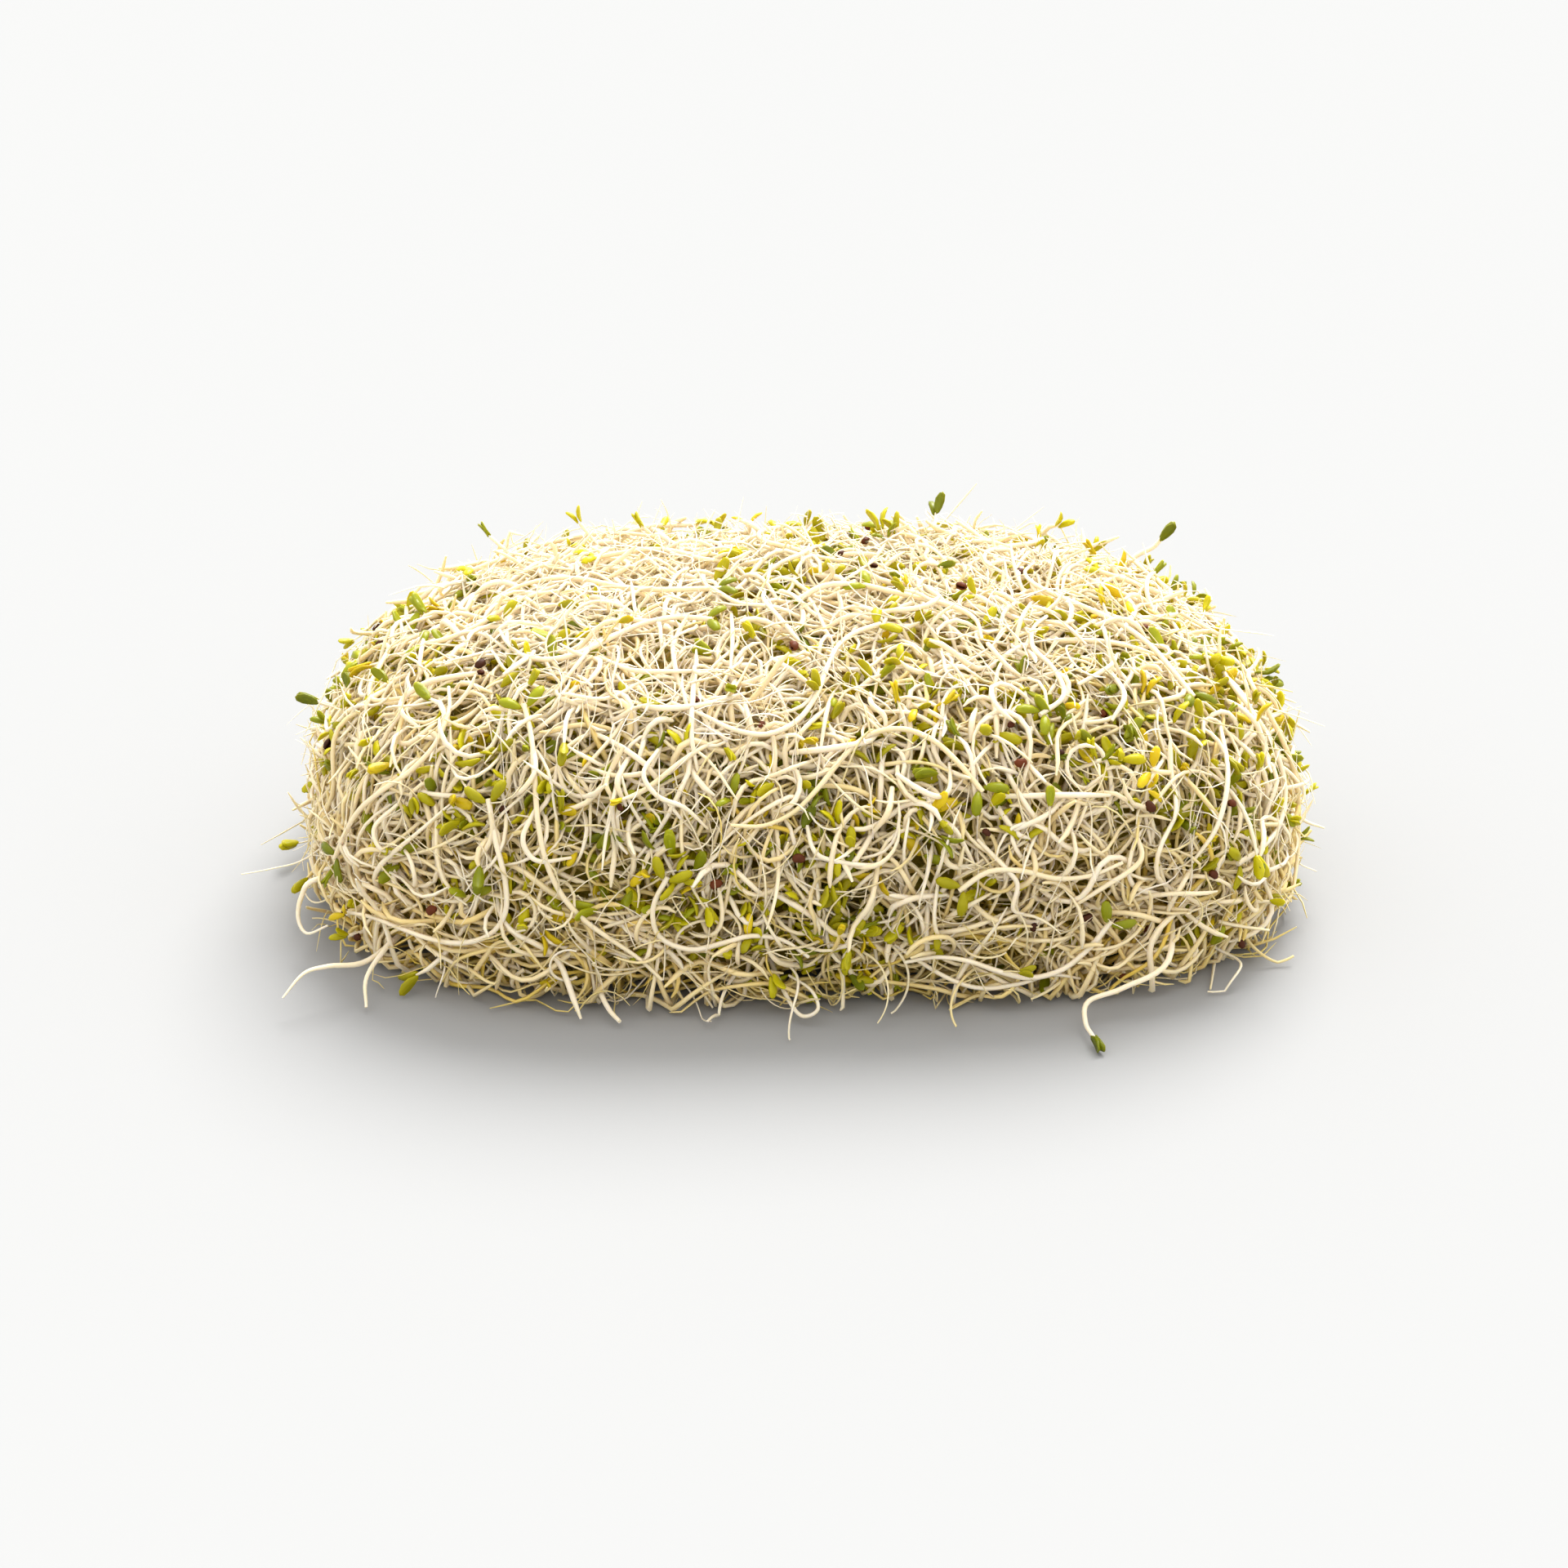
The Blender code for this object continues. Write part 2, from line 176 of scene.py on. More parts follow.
def tissue_material(name, pale, deep, drift, roughness, blotch, skin_height, glow=0.0):
    """A material of living tissue. Its tone comes from the piece's own attribute."""
    material = bpy.data.materials.new(name)
    material.use_nodes = True
    nodes = material.node_tree.nodes
    links = material.node_tree.links
    shader = nodes["Principled BSDF"]
    shader.inputs["Roughness"].default_value = roughness
    shader.inputs["Specular IOR Level"].default_value = TISSUE_SHINE
    shader.inputs["Subsurface Weight"].default_value = glow
    shader.inputs["Subsurface Scale"].default_value = GLOW_DEPTH
    shader.inputs["Subsurface Radius"].default_value = GLOW_COLOUR
    tissue = nodes.new("ShaderNodeGroup")
    tissue.node_tree = TISSUE
    tissue.inputs["Pale"].default_value = (*pale, 1)
    tissue.inputs["Deep"].default_value = (*deep, 1)
    tissue.inputs["Drift"].default_value = (*drift, 1)
    tissue.inputs["Blotch size"].default_value = blotch[0]
    tissue.inputs["Blotch depth"].default_value = blotch[1]
    tone = nodes.new("ShaderNodeAttribute")
    tone.attribute_name = "tone"
    links.new(tone.outputs["Fac"], tissue.inputs["Tone"])
    bump = nodes.new("ShaderNodeBump")
    bump.inputs["Strength"].default_value = TISSUE_BUMP
    bump.inputs["Distance"].default_value = skin_height
    links.new(tissue.outputs["Height"], bump.inputs["Height"])
    links.new(bump.outputs["Normal"], shader.inputs["Normal"])
    links.new(tissue.outputs["Colour"], shader.inputs["Base Color"])
    return material


def set_tone(obj, tone):
    """Writes one tone, from 0 for pale to 1 for deep, on all of a piece's points."""
    mesh = obj.data
    attribute = mesh.attributes.get("tone") or mesh.attributes.new("tone", "FLOAT", "POINT")
    attribute.data.foreach_set("value", np.full(len(mesh.vertices), tone, np.float32))


bpy.ops.object.select_all(action="DESELECT")
bpy.ops.mesh.primitive_cube_add(size=2.0)
heart = bpy.context.object
heart.name = "pressed_heart"
bpy.ops.object.mode_set(mode="EDIT")
bpy.ops.mesh.subdivide(number_cuts=HEART_CUTS)
bpy.ops.object.mode_set(mode="OBJECT")
rng = random.Random(3)
for vert in heart.data.vertices:
    corner = Vector((vert.co.x * PACK_WIDTH, vert.co.y * PACK_DEPTH, vert.co.z * PACK_HEIGHT))
    outside = corner.normalized()
    rough = outside * rng.uniform(-HEART_ROUGHNESS, HEART_ROUGHNESS)
    vert.co = pack_point(outside, HEART_INSET) + rough
bpy.ops.object.mode_set(mode="EDIT")
bpy.ops.mesh.select_all(action="SELECT")
bpy.ops.mesh.bisect(
    plane_co=(0, 0, HEART_BASE), plane_no=(0, 0, 1), use_fill=True, clear_inner=True
)
bpy.ops.object.mode_set(mode="OBJECT")
bpy.ops.object.shade_smooth()
# The heart's dark olive brown is painted shade: it stands for the shaded depths seen between the stems.
heart.data.materials.append(
    tissue_material(
        "pressed_tissue_painted_shade", (0.50, 0.38, 0.04), (0.24, 0.155, 0.010), (0.24, 0.19, 0.010),
        0.7, (220, 1.6), 0.0006,
    )
)
set_tone(heart, HEART_TONE)
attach(heart, "root")
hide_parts("sprout_mat")


# The tangled stems
# Each is the white stalk and root of one seedling, 8 to 34 mm long, some 0.7 mm thick, thinner at the root.
# They curl round the pack in layers, over and under one another, and rest where they cross.
LOWEST_STEM = 0.0008
# The fifth column is each layer's range of tone: the deeper the layer, the deeper its tone, as painted
# shade between the stems; within a range the tone differs at random.
STEM_GROUPS = (
    ("deep_stems", 380, (-0.0024, 0.0002), (0.014, 0.034), (0.40, 1.0), 3),
    ("inner_stems", 960, (0.0000, 0.0022), (0.014, 0.034), (0.25, 0.82), 3),
    ("middle_stems", 1260, (0.0018, 0.0038), (0.012, 0.034), (0.12, 0.66), 4),
    ("outer_stems", 1120, (0.0028, 0.0050), (0.012, 0.032), (0.0, 0.45), 5),
    ("crown_stems", 640, (0.0042, 0.0060), (0.008, 0.022), (0.0, 0.20), 5),
    ("thin_stems", 800, (0.0010, 0.0056), (0.012, 0.032), (0.0, 0.60), 3),
    ("under_stems", 170, (0.0, 0.0), (0.014, 0.034), (0.10, 0.60), 3),
)
STEM_RADII = (0.00022, 0.00047, 0.00033)
THIN_RADII = (0.00012, 0.00022, 0.00017)
STEM_LIFTS = (-0.0032, -0.0020, -0.0010, 0.0, 0.0014, 0.0026)
TONE_STEPS = 7
CURLY = 0.36
STRAIGHT = 0.26
# For each habit: the step along the stem, its steady bend and its swing to and fro per metre.
STEM_HABITS = {
    "curl": (0.0010, (120, 400), (0, 180)),
    "straight": (0.0016, (0, 60), (10, 100)),
    "wander": (0.0014, (0, 100), (100, 300)),
}
CURL_LENGTH = 0.6
CURL_CLIMBS = (0.0006, 0.0018)
CLIMBS = {"straight": 0.0018, "wander": 0.0012}
SWING_WAVES = (0.010, 0.026)
WEAVE_HEIGHTS = (0.0004, 0.0015)
WEAVE_WAVES = (0.008, 0.018)
HOOKS = (110, 260)
END_REACH = 0.006
END_THICKNESS = 0.45
ROOT_TAPERS = (0.30, 0.8)
LEVEL_LEAN = 0.5
NORMAL_STEP = 0.02
DRY_SPOT = Vector((0.047, -0.008, 0.038))
DRY_REACH = 0.009
DRY_TONE = 0.8
# Stems below this height take a deeper tone, painted shade at the foot of the pack.
FOOT_SHADE_HEIGHT = 0.016
FOOT_SHADE_TONE = 0.55
# Stems above this height take a paler tone, painted light on the top of the pack.
TOP_LIGHT_HEIGHT = 0.036
TOP_LIGHT_TONE = -0.22
LEVEL_HEIGHT = 0.012


def outward(direction):
    """The surface's normal there, from two short steps across it."""
    side = direction.cross(Vector((0, 0, 1)))
    if side.length < 1e-3:
        side = Vector((1, 0, 0))
    side.normalize()
    up = side.cross(direction)
    across = pack_point((direction + side * NORMAL_STEP).normalized(), CORE_INSET) - pack_point(
        (direction - side * NORMAL_STEP).normalized(), CORE_INSET
    )
    along = pack_point((direction + up * NORMAL_STEP).normalized(), CORE_INSET) - pack_point(
        (direction - up * NORMAL_STEP).normalized(), CORE_INSET
    )
    normal = across.cross(along).normalized()
    return normal if normal.dot(direction) > 0 else -normal


def random_direction(rng):
    """A direction to an even spread of places on the top and sides."""
    while True:
        spot = Vector((
            rng.uniform(-PACK_WIDTH, PACK_WIDTH) / 2,
            rng.uniform(-PACK_DEPTH, PACK_DEPTH) / 2,
            rng.uniform(-WIDEST_HEIGHT * 0.8, PACK_HEIGHT - WIDEST_HEIGHT),
        ))
        direction = spot.normalized()
        reach = (pack_point(direction, 0) - MIDDLE).length
        if 0.8 * reach < spot.length < reach:
            return direction


def under_direction(rng):
    """A direction to an even spread of places on the underside."""
    x = rng.uniform(-0.40, 0.40) * PACK_WIDTH
    y = rng.uniform(-0.38, 0.38) * PACK_DEPTH
    return Vector((x, y, -WIDEST_HEIGHT)).normalized()


def stem_tone(rng, place, tones):
    """One stem's tone: deeper at the foot as painted shade, deeper in the dried patch, and whiter on top as
    painted light.
    """
    tone = rng.uniform(*tones)
    tone += DRY_TONE * max(0, 1 - (place - DRY_SPOT).length / DRY_REACH)
    # Painted shade: stems low at the foot get a deeper tone.
    if place.z < FOOT_SHADE_HEIGHT:
        tone += FOOT_SHADE_TONE * (1 - place.z / FOOT_SHADE_HEIGHT)
    # Painted light: stems on top get a paler tone.
    elif place.z > TOP_LIGHT_HEIGHT:
        tone += TOP_LIGHT_TONE
    return min(1, max(0, tone))


def wandering_stem(rng, start, height, length, radius, lifts):
    """One stem's points, their radii and the pack's normal at each. Its ends rise or dip by lifts."""
    drawn = rng.random()
    habit = "curl" if drawn < CURLY else "straight" if drawn < CURLY + STRAIGHT else "wander"
    side = rng.choice((-1, 1))
    step, bends, swings = STEM_HABITS[habit]
    bend = side * rng.uniform(*bends)
    swing = rng.uniform(*swings)
    if habit == "curl":
        climb = rng.choice((-1, 1)) * rng.uniform(*CURL_CLIMBS)
        length *= CURL_LENGTH
    else:
        climb = rng.gauss(0, CLIMBS[habit])
    steps = round(length / step)
    normal = outward(start)
    flat = normal.cross(Vector((0, 0, 1)))
    if flat.length < 0.3:
        flat = Vector((1, 0, 0)).cross(normal)
    here = pack_point(start, CORE_INSET)
    level = here.z < LEVEL_HEIGHT and normal.z > -0.5
    if level:
        lean = rng.choice((0, math.pi)) + rng.gauss(0, LEVEL_LEAN)
    else:
        lean = rng.uniform(-math.pi, math.pi)
    forward = Matrix.Rotation(lean, 3, normal) @ flat.normalized()
    wave = rng.uniform(*SWING_WAVES)
    phase = rng.uniform(0, math.tau)
    hook = rng.choice((-1, 0, 1)) * rng.uniform(*HOOKS)
    weave = rng.uniform(*WEAVE_HEIGHTS)
    weave_wave = rng.uniform(*WEAVE_WAVES)
    ends = [rng.choice(lifts) * rng.uniform(0.4, 1.0) for _ in range(2)]
    taper = rng.uniform(*ROOT_TAPERS)
    direction = start
    points = []
    radii = []
    normals = []
    for i in range(steps + 1):
        gone = i * step
        left = length - gone
        rise = height + weave * math.sin(math.tau * gone / weave_wave + phase)
        rise += climb * (gone / length - 0.5) * 2
        rise += ends[0] * max(0, 1 - gone / END_REACH) ** 2 + ends[1] * max(0, 1 - left / END_REACH) ** 2
        point = here + normal * rise
        point.z = max(point.z, LOWEST_STEM)
        points.append(point)
        tip = END_THICKNESS if i in (0, steps) else 1.0
        radii.append(radius * tip * (taper + (1 - taper) * min(1, gone / (0.6 * length))))
        normals.append(normal)
        curl = bend + swing * math.sin(math.tau * gone / wave + phase)
        if left < END_REACH:
            curl += hook
        forward = Matrix.Rotation(curl * step, 3, normal) @ forward
        forward = (forward - normal * forward.dot(normal)).normalized()
        direction = (here + forward * step - MIDDLE).normalized()
        here = pack_point(direction, CORE_INSET)
        normal = outward(direction)
    return points, radii, normals


SETTLE_ROUNDS = 6
SETTLE_REACH = 0.00125
SETTLE_GAP = 0.0001
SETTLE_MOVE = 0.0005
SETTLE_ASIDE = 0.35


def settle(stems):
    """Crossing stems push each other apart until they rest on one another."""
    points = np.array([p for stem in stems for p in stem[0]])
    radii = np.array([r for stem in stems for r in stem[1]])
    normals = np.array([n for stem in stems for n in stem[2]])
    owner = np.array([k for k, stem in enumerate(stems) for _ in stem[0]])
    same = owner[1:] == owner[:-1]
    for _ in range(SETTLE_ROUNDS):
        tree = KDTree(len(points))
        for i, point in enumerate(points):
            tree.insert(point, i)
        tree.balance()
        first = []
        second = []
        for i, point in enumerate(points):
            for _, j, _ in tree.find_range(point, SETTLE_REACH):
                if j > i and owner[i] != owner[j]:
                    first.append(i)
                    second.append(j)
        first = np.array(first)
        second = np.array(second)
        gap = points[first] - points[second]
        rise = np.einsum("ij,ij->i", gap, normals[first])
        apart = np.linalg.norm(gap, axis=1)
        overlap = np.clip(radii[first] + radii[second] + SETTLE_GAP - apart, 0, None)
        side = np.where(rise >= 0, 1.0, -1.0)[:, None]
        push = gap / np.maximum(apart, 1e-6)[:, None] * SETTLE_ASIDE
        push += normals[first] * side * (1 - SETTLE_ASIDE)
        push *= (overlap * 0.5)[:, None]
        move = np.zeros_like(points)
        np.add.at(move, first, push)
        np.add.at(move, second, -push)
        move = np.clip(move, -SETTLE_MOVE, SETTLE_MOVE)
        for _ in range(2):
            shared = move.copy()
            shared[1:][same] += 0.5 * move[:-1][same]
            shared[:-1][same] += 0.5 * move[1:][same]
            move = shared / 1.6
        points += move
        points[:, 2] = np.maximum(points[:, 2], LOWEST_STEM)
    starts = np.searchsorted(owner, np.arange(len(stems) + 1))
    return [
        ([Vector(p) for p in points[a:b]], stem[1], stem[2])
        for stem, a, b in zip(stems, starts, starts[1:])
    ]


def joined(name, parts):
    """The parts as one mesh."""
    bpy.ops.object.select_all(action="DESELECT")
    for part in parts:
        part.select_set(True)
    bpy.context.view_layer.objects.active = parts[0]
    bpy.ops.object.join()
    piece = bpy.context.object
    piece.name = name
    return piece


def tube_piece(name, stems, tones, sides):
    """Round stems as one mesh: a curve for each tone, swept by a ring, made a mesh and joined."""
    ring_data = bpy.data.curves.new("stem_ring", "CURVE")
    ring_line = ring_data.splines.new("POLY")
    ring_line.points.add(sides - 1)
    ring_line.use_cyclic_u = True
    for k, point in enumerate(ring_line.points):
        turn = math.tau * k / sides
        point.co = (math.cos(turn), math.sin(turn), 0, 1)
    ring = bpy.data.objects.new("stem_ring", ring_data)
    parts = []
    for step in range(TONE_STEPS):
        chosen = [s for s, t in zip(stems, tones) if min(int(t * TONE_STEPS), TONE_STEPS - 1) == step]
        if not chosen:
            continue
        curve = bpy.data.curves.new(name, "CURVE")
        curve.dimensions = "3D"
        curve.bevel_mode = "OBJECT"
        curve.bevel_object = ring
        curve.use_fill_caps = True
        for points, radii, _ in chosen:
            spline = curve.splines.new("POLY")
            spline.points.add(len(points) - 1)
            spline.points.foreach_set("co", [c for p in points for c in (*p, 1.0)])
            spline.points.foreach_set("radius", radii)
        part = bpy.data.objects.new(name, curve)
        bpy.context.scene.collection.objects.link(part)
        select_only(part)
        bpy.ops.object.convert(target="MESH")
        part = bpy.context.object
        set_tone(part, (step + 0.5) / TONE_STEPS)
        parts.append(part)
    piece = joined(name, parts)
    bpy.ops.object.shade_smooth()
    bpy.data.objects.remove(ring)
    return piece


# The deep colours are the tan and olive of painted shade, given to the deep layers and the foot; random
# tone mixes them in as well.
stem_material = tissue_material(
    "stem_skin", (0.87, 0.755, 0.580), (0.77, 0.53, 0.085), (0.68, 0.48, 0.055),
    0.42, (260, 0.45), 0.00012, 0.35,
)
rng = random.Random(101)
all_stems = []
group_of = []
tones_of = []
for number, (name, count, heights, lengths, tones, sides) in enumerate(STEM_GROUPS):
    for _ in range(count):
        length = rng.uniform(*lengths)
        radius = rng.triangular(*(THIN_RADII if name == "thin_stems" else STEM_RADII))
        height = rng.uniform(*heights)
        start = under_direction(rng) if name == "under_stems" else random_direction(rng)
        all_stems.append(wandering_stem(rng, start, height, length, radius, STEM_LIFTS))
        group_of.append(number)
        tones_of.append(stem_tone(rng, all_stems[-1][0][0], tones))
all_stems = settle(all_stems)
for number, (name, count, heights, lengths, tones, sides) in enumerate(STEM_GROUPS):
    chosen = [stem for stem, k in zip(all_stems, group_of) if k == number]
    chosen_tones = [tone for tone, k in zip(tones_of, group_of) if k == number]
    piece = tube_piece(name, chosen, chosen_tones, sides)
    piece.data.materials.append(stem_material)
    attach(piece, "root")


# The seed leaves
# Two thick oval blades open at the top of each stem, lime to leaf green.
# One pair of each habit, closed, ajar and open wide, is modelled, and is copied to the stems' ends.
LEAF_LENGTH = 0.0036
LEAF_WIDTH = 0.0019
LEAF_THICKNESS = 0.0006
LEAF_CUP = 0.35
LEAF_ARCH = 0.00055
LEAF_APART = 0.00035
LEAF_OVERLAP = 0.0004
LEAF_SIZES = (0.62, 1.08)
CLUSTER_SHARES = (8, 3, 3, 3)
TIP_SHARES = (5, 4, 3)
COLOUR_SHARES = (12, 6, 3)
LEAF_SHARE = 0.20
LEAF_PATCHES = 0.10
LEAF_CLUSTERS = 275
LEAFY_FROM = (-1.6, 1.2)
CLUSTER_LEAVES = (3, 12)
CLUSTER_SIZE = 0.0036
TUCKED_HEIGHTS = (0.0010, 0.0052)
BARE_FROM = -0.020
BARE_ABOVE = 0.038
BARE_SHARE = 0.5
LEAST_CLEARANCE = 0.0002
LEAF_GROUPS = (
    ("lime_leaves", (0.52, 0.460, 0.003), (0.27, 0.240, 0.001)),
    ("green_leaves", (0.32, 0.330, 0.004), (0.12, 0.140, 0.001)),
    ("yellow_leaves", (0.70, 0.52, 0.012), (0.48, 0.345, 0.002)),
)


def leaf_blade(name):
    """One seed leaf along +Z from the origin, its width along X and its face towards +Y."""
    bpy.ops.object.select_all(action="DESELECT")
    bpy.ops.mesh.primitive_uv_sphere_add(segments=6, ring_count=5, radius=0.5)
    blade = bpy.context.object
    blade.name = name
    for vert in blade.data.vertices:
        share = vert.co.z + 0.5
        width = 1.0 - 0.45 * (1 - share) ** 2
        vert.co.x *= LEAF_WIDTH * width
        arch = LEAF_ARCH * math.sin(math.pi * share)
        vert.co.y = vert.co.y * LEAF_THICKNESS + LEAF_CUP * abs(vert.co.x) - arch
        vert.co.z = share * LEAF_LENGTH
    bpy.ops.object.shade_smooth()
    return blade


def leaf_pair(name, opening, twist=0.0):
    """Two facing blades on one stalk, each leaning out by the given angle and turned on its own stalk."""
    pair = []
    for side in (0, math.pi):
        blade = leaf_blade(name)
        lean = Matrix.Rotation(-opening, 4, "X")
        out = Matrix.Translation((0, LEAF_APART, 0))
        own_turn = Matrix.Rotation(twist if side == 0 else -twist, 4, "Z")
        blade.data.transform(Matrix.Rotation(side, 4, "Z") @ out @ lean @ own_turn)
        pair.append(blade)
    return joined(name, pair)


def place_leaves(master, matrix, tone):
    """A copy of a modelled pair in its place, or nothing where it would reach through the floor."""
    copy = master.copy()
    copy.data = master.data.copy()
    copy.data.transform(matrix)
    if min(v.co.z for v in copy.data.vertices) < LEAST_CLEARANCE:
        bpy.data.objects.remove(copy)
        return None
    bpy.context.scene.collection.objects.link(copy)
    set_tone(copy, tone)
    return copy


def leafiness(place):
    """How leafy the tangle is there, from -2 where the roots lie together to 2 where the leaves do."""
    across = math.sin(place.x * 95 + 1.0) * math.sin(place.y * 120 + 0.5)
    return across + math.sin(place.z * 160 + place.x * 60)


pairs = [leaf_pair("closed_pair", 0.03), leaf_pair("ajar_pair", 0.35), leaf_pair("open_pair", 0.95)]
half_hidden = leaf_blade("half_hidden_leaf")
rng = random.Random(202)
leaf_objects = [[] for _ in LEAF_GROUPS]
leaf_places = []
for stem, number in zip(all_stems, group_of):
    points = stem[0]
    tip = points[-1]
    if rng.random() < LEAF_SHARE + LEAF_PATCHES * leafiness(tip):
        ahead = (points[-1] - points[-3]).normalized()
        ahead = (ahead + stem[2][-1] * rng.uniform(-0.1, 0.7)).normalized()
        leaf_places.append((tip - ahead * LEAF_OVERLAP, ahead, pairs, TIP_SHARES))
for _ in range(LEAF_CLUSTERS):
    centre = pack_point(random_direction(rng), CORE_INSET)
    while leafiness(centre) < rng.uniform(*LEAFY_FROM):
        centre = pack_point(random_direction(rng), CORE_INSET)
    for _ in range(rng.randint(*CLUSTER_LEAVES)):
        aside = Vector([rng.gauss(0, CLUSTER_SIZE) for _ in range(3)])
        direction = (centre + aside - MIDDLE).normalized()
        normal = outward(direction)
        flat = Matrix.Rotation(rng.uniform(0, math.tau), 3, normal) @ normal.orthogonal()
        ahead = (flat + normal * rng.uniform(-0.1, 0.9)).normalized()
        base = pack_point(direction, CORE_INSET) + normal * rng.uniform(*TUCKED_HEIGHTS)
        leaf_places.append((base, ahead, (half_hidden, *pairs), CLUSTER_SHARES))
for base, ahead, masters, shares in leaf_places:
    if base.y > BARE_FROM and base.z > BARE_ABOVE and rng.random() < BARE_SHARE:
        continue
    turn = ahead.to_track_quat("Z", "Y").to_matrix().to_4x4()
    spin = Matrix.Rotation(rng.uniform(0, math.tau), 4, "Z")
    size = Matrix.Scale(rng.uniform(*LEAF_SIZES), 4)
    matrix = Matrix.Translation(base) @ turn @ spin @ size
    copy = place_leaves(rng.choices(masters, shares)[0], matrix, rng.uniform(0.0, 1.0))
    if copy:
        leaf_objects[rng.choices((0, 1, 2), COLOUR_SHARES)[0]].append(copy)


# The loose sprouts
# Whole seedlings that lie on top of the tangle: root tip, stalk and two seed leaves, grown as one.
# Each follows the route of its own solid, drawn from the same seed, with a smoother, slimmer stalk.
LOOSE_HEIGHT = 0.0062
LOOSE_SEED = 29
LOOSE_SPROUTS = 38
LOOSE_LENGTHS = (0.022, 0.040)
LOOSE_STEP = 0.0042
LOOSE_SPACING = 0.0031
LOWEST_LOOSE = 0.004
LOWEST_ROUTE = 0.0014
LEAF_SPREADS = (0.65, 1.15)
LEAF_SUNK = 0.0005
SOLID_LEAF_LENGTH = 0.0046
LOOSE_RADIUS = 0.00037
ROOT_TIP_RADIUS = 0.00024
MOST_TRIES = 400
STRAY_STEPS = 2
STRAYS = (
    (
        "front_right",
        ((0.0480, -0.0340, 0.0110), (0.0462, -0.0450, 0.0068), (0.0400, -0.0475, 0.0042),
         (0.0352, -0.0492, 0.0032), (0.0345, -0.0520, 0.0016), (0.0352, -0.0556, 0.0012)),
        1,
    ),
    (
        "top_right",
        ((0.0440, 0.0220, 0.0320), (0.0500, 0.0265, 0.0368), (0.0535, 0.0275, 0.0385),
         (0.0548, 0.0275, 0.0400)),
        1,
    ),
    (
        "front_left_root",
        ((-0.0540, -0.0270, 0.0060), (-0.0600, -0.0360, 0.0045), (-0.0649, -0.0400, 0.0058),
         (-0.0680, -0.0420, 0.0058), (-0.0708, -0.0435, 0.0030)),
        0,
    ),
    (
        "left_curl",
        ((-0.0600, -0.0200, 0.0095), (-0.0678, -0.0240, 0.0108), (-0.0698, -0.0248, 0.0086),
         (-0.0703, -0.0258, 0.0058), (-0.0690, -0.0275, 0.0044), (-0.0660, -0.0288, 0.0062)),
        0,
    ),
    (
        "front_middle",
        ((-0.0310, -0.0330, 0.0070), (-0.0292, -0.0425, 0.0034), (-0.0278, -0.0462, 0.0018),
         (-0.0264, -0.0485, 0.0012)),
        1,
    ),
    (
        "left_leaf",
        ((-0.0570, -0.0010, 0.0225), (-0.0655, -0.0005, 0.0262), (-0.0690, 0.0, 0.0272)),
        1,
    ),
    (
        "right_root",
        ((0.0600, -0.0110, 0.0160), (0.0667, -0.0140, 0.0150), (0.0700, -0.0140, 0.0124),
         (0.0729, -0.0140, 0.0112)),
        0,
    ),
)


def stem_way(rng, start, lengths, step):
    """The directions from the middle to each point of a stem that wanders over the pack."""
    steps = round(rng.uniform(*lengths) / step)
    normal = outward(start)
    flat = normal.cross(Vector((0, 0, 1)))
    if flat.length < 0.3:
        flat = Vector((1, 0, 0)).cross(normal)
    lean = rng.uniform(-math.pi, math.pi) if normal.z > 0.6 else rng.gauss(0, 0.6)
    forward = Matrix.Rotation(lean, 3, normal) @ flat.normalized()
    if rng.random() < 0.5:
        forward = -forward
    swing = rng.uniform(0.5, 1.9)
    phase = rng.uniform(0, math.tau)
    bend = rng.uniform(-1.6, 1.6)
    directions = [start]
    here = pack_point(start, CORE_INSET)
    for i in range(steps):
        share = i / steps
        turn = (bend + swing * math.tau * math.cos(math.tau * share + phase) / 2) / steps
        forward = Matrix.Rotation(turn, 3, normal) @ forward
        forward = (forward - normal * forward.dot(normal)).normalized()
        direction = (here + forward * step - MIDDLE).normalized()
        directions.append(direction)
        here = pack_point(direction, CORE_INSET)
        normal = outward(direction)
    return directions


def over_core(direction, height):
    """A point this high over the core, kept off the surface that the pack stands on."""
    point = pack_point(direction, CORE_INSET) + outward(direction) * height
    point.z = max(point.z, LOWEST_ROUTE)
    return point


def with_middles(points):
    """The points with one more halfway along each stretch, as a fine enough measure of a stem."""
    return points + [(a + b) / 2 for a, b in zip(points, points[1:])]


def clear_of(points, taken, spacing):
    """Whether each of the points keeps this distance from all that is placed."""
    if not taken:
        return True
    gaps = np.array(points)[:, None, :] - np.array(taken)[None, :, :]
    return bool((np.linalg.norm(gaps, axis=2) > spacing).all())


def leaf_tips(base, ahead, up, length, spread):
    """Points at the middle and the tip of both leaves of a pair."""
    side = up.cross(ahead).normalized()
    ways = [ahead * math.cos(spread) + side * (math.sin(spread) * sign) for sign in (-1, 1)]
    return [base + way * (length * share) for way in ways for share in (0.5, 1.0)]


def smooth_points(points, steps):
    """Evenly counted points on a smooth curve through the given ones."""
    line = [Vector(p) for p in points]
    ends = [2 * line[0] - line[1]] + line + [2 * line[-1] - line[-2]]
    found = []
    for a, b, c, d in zip(ends, ends[1:], ends[2:], ends[3:]):
        for k in range(steps):
            t = k / steps
            found.append(
                0.5 * (2 * b + (c - a) * t + (2 * a - 5 * b + 4 * c - d) * t * t
                       + (3 * b - a - 3 * c + d) * t * t * t)
            )
    return found + [line[-1]]


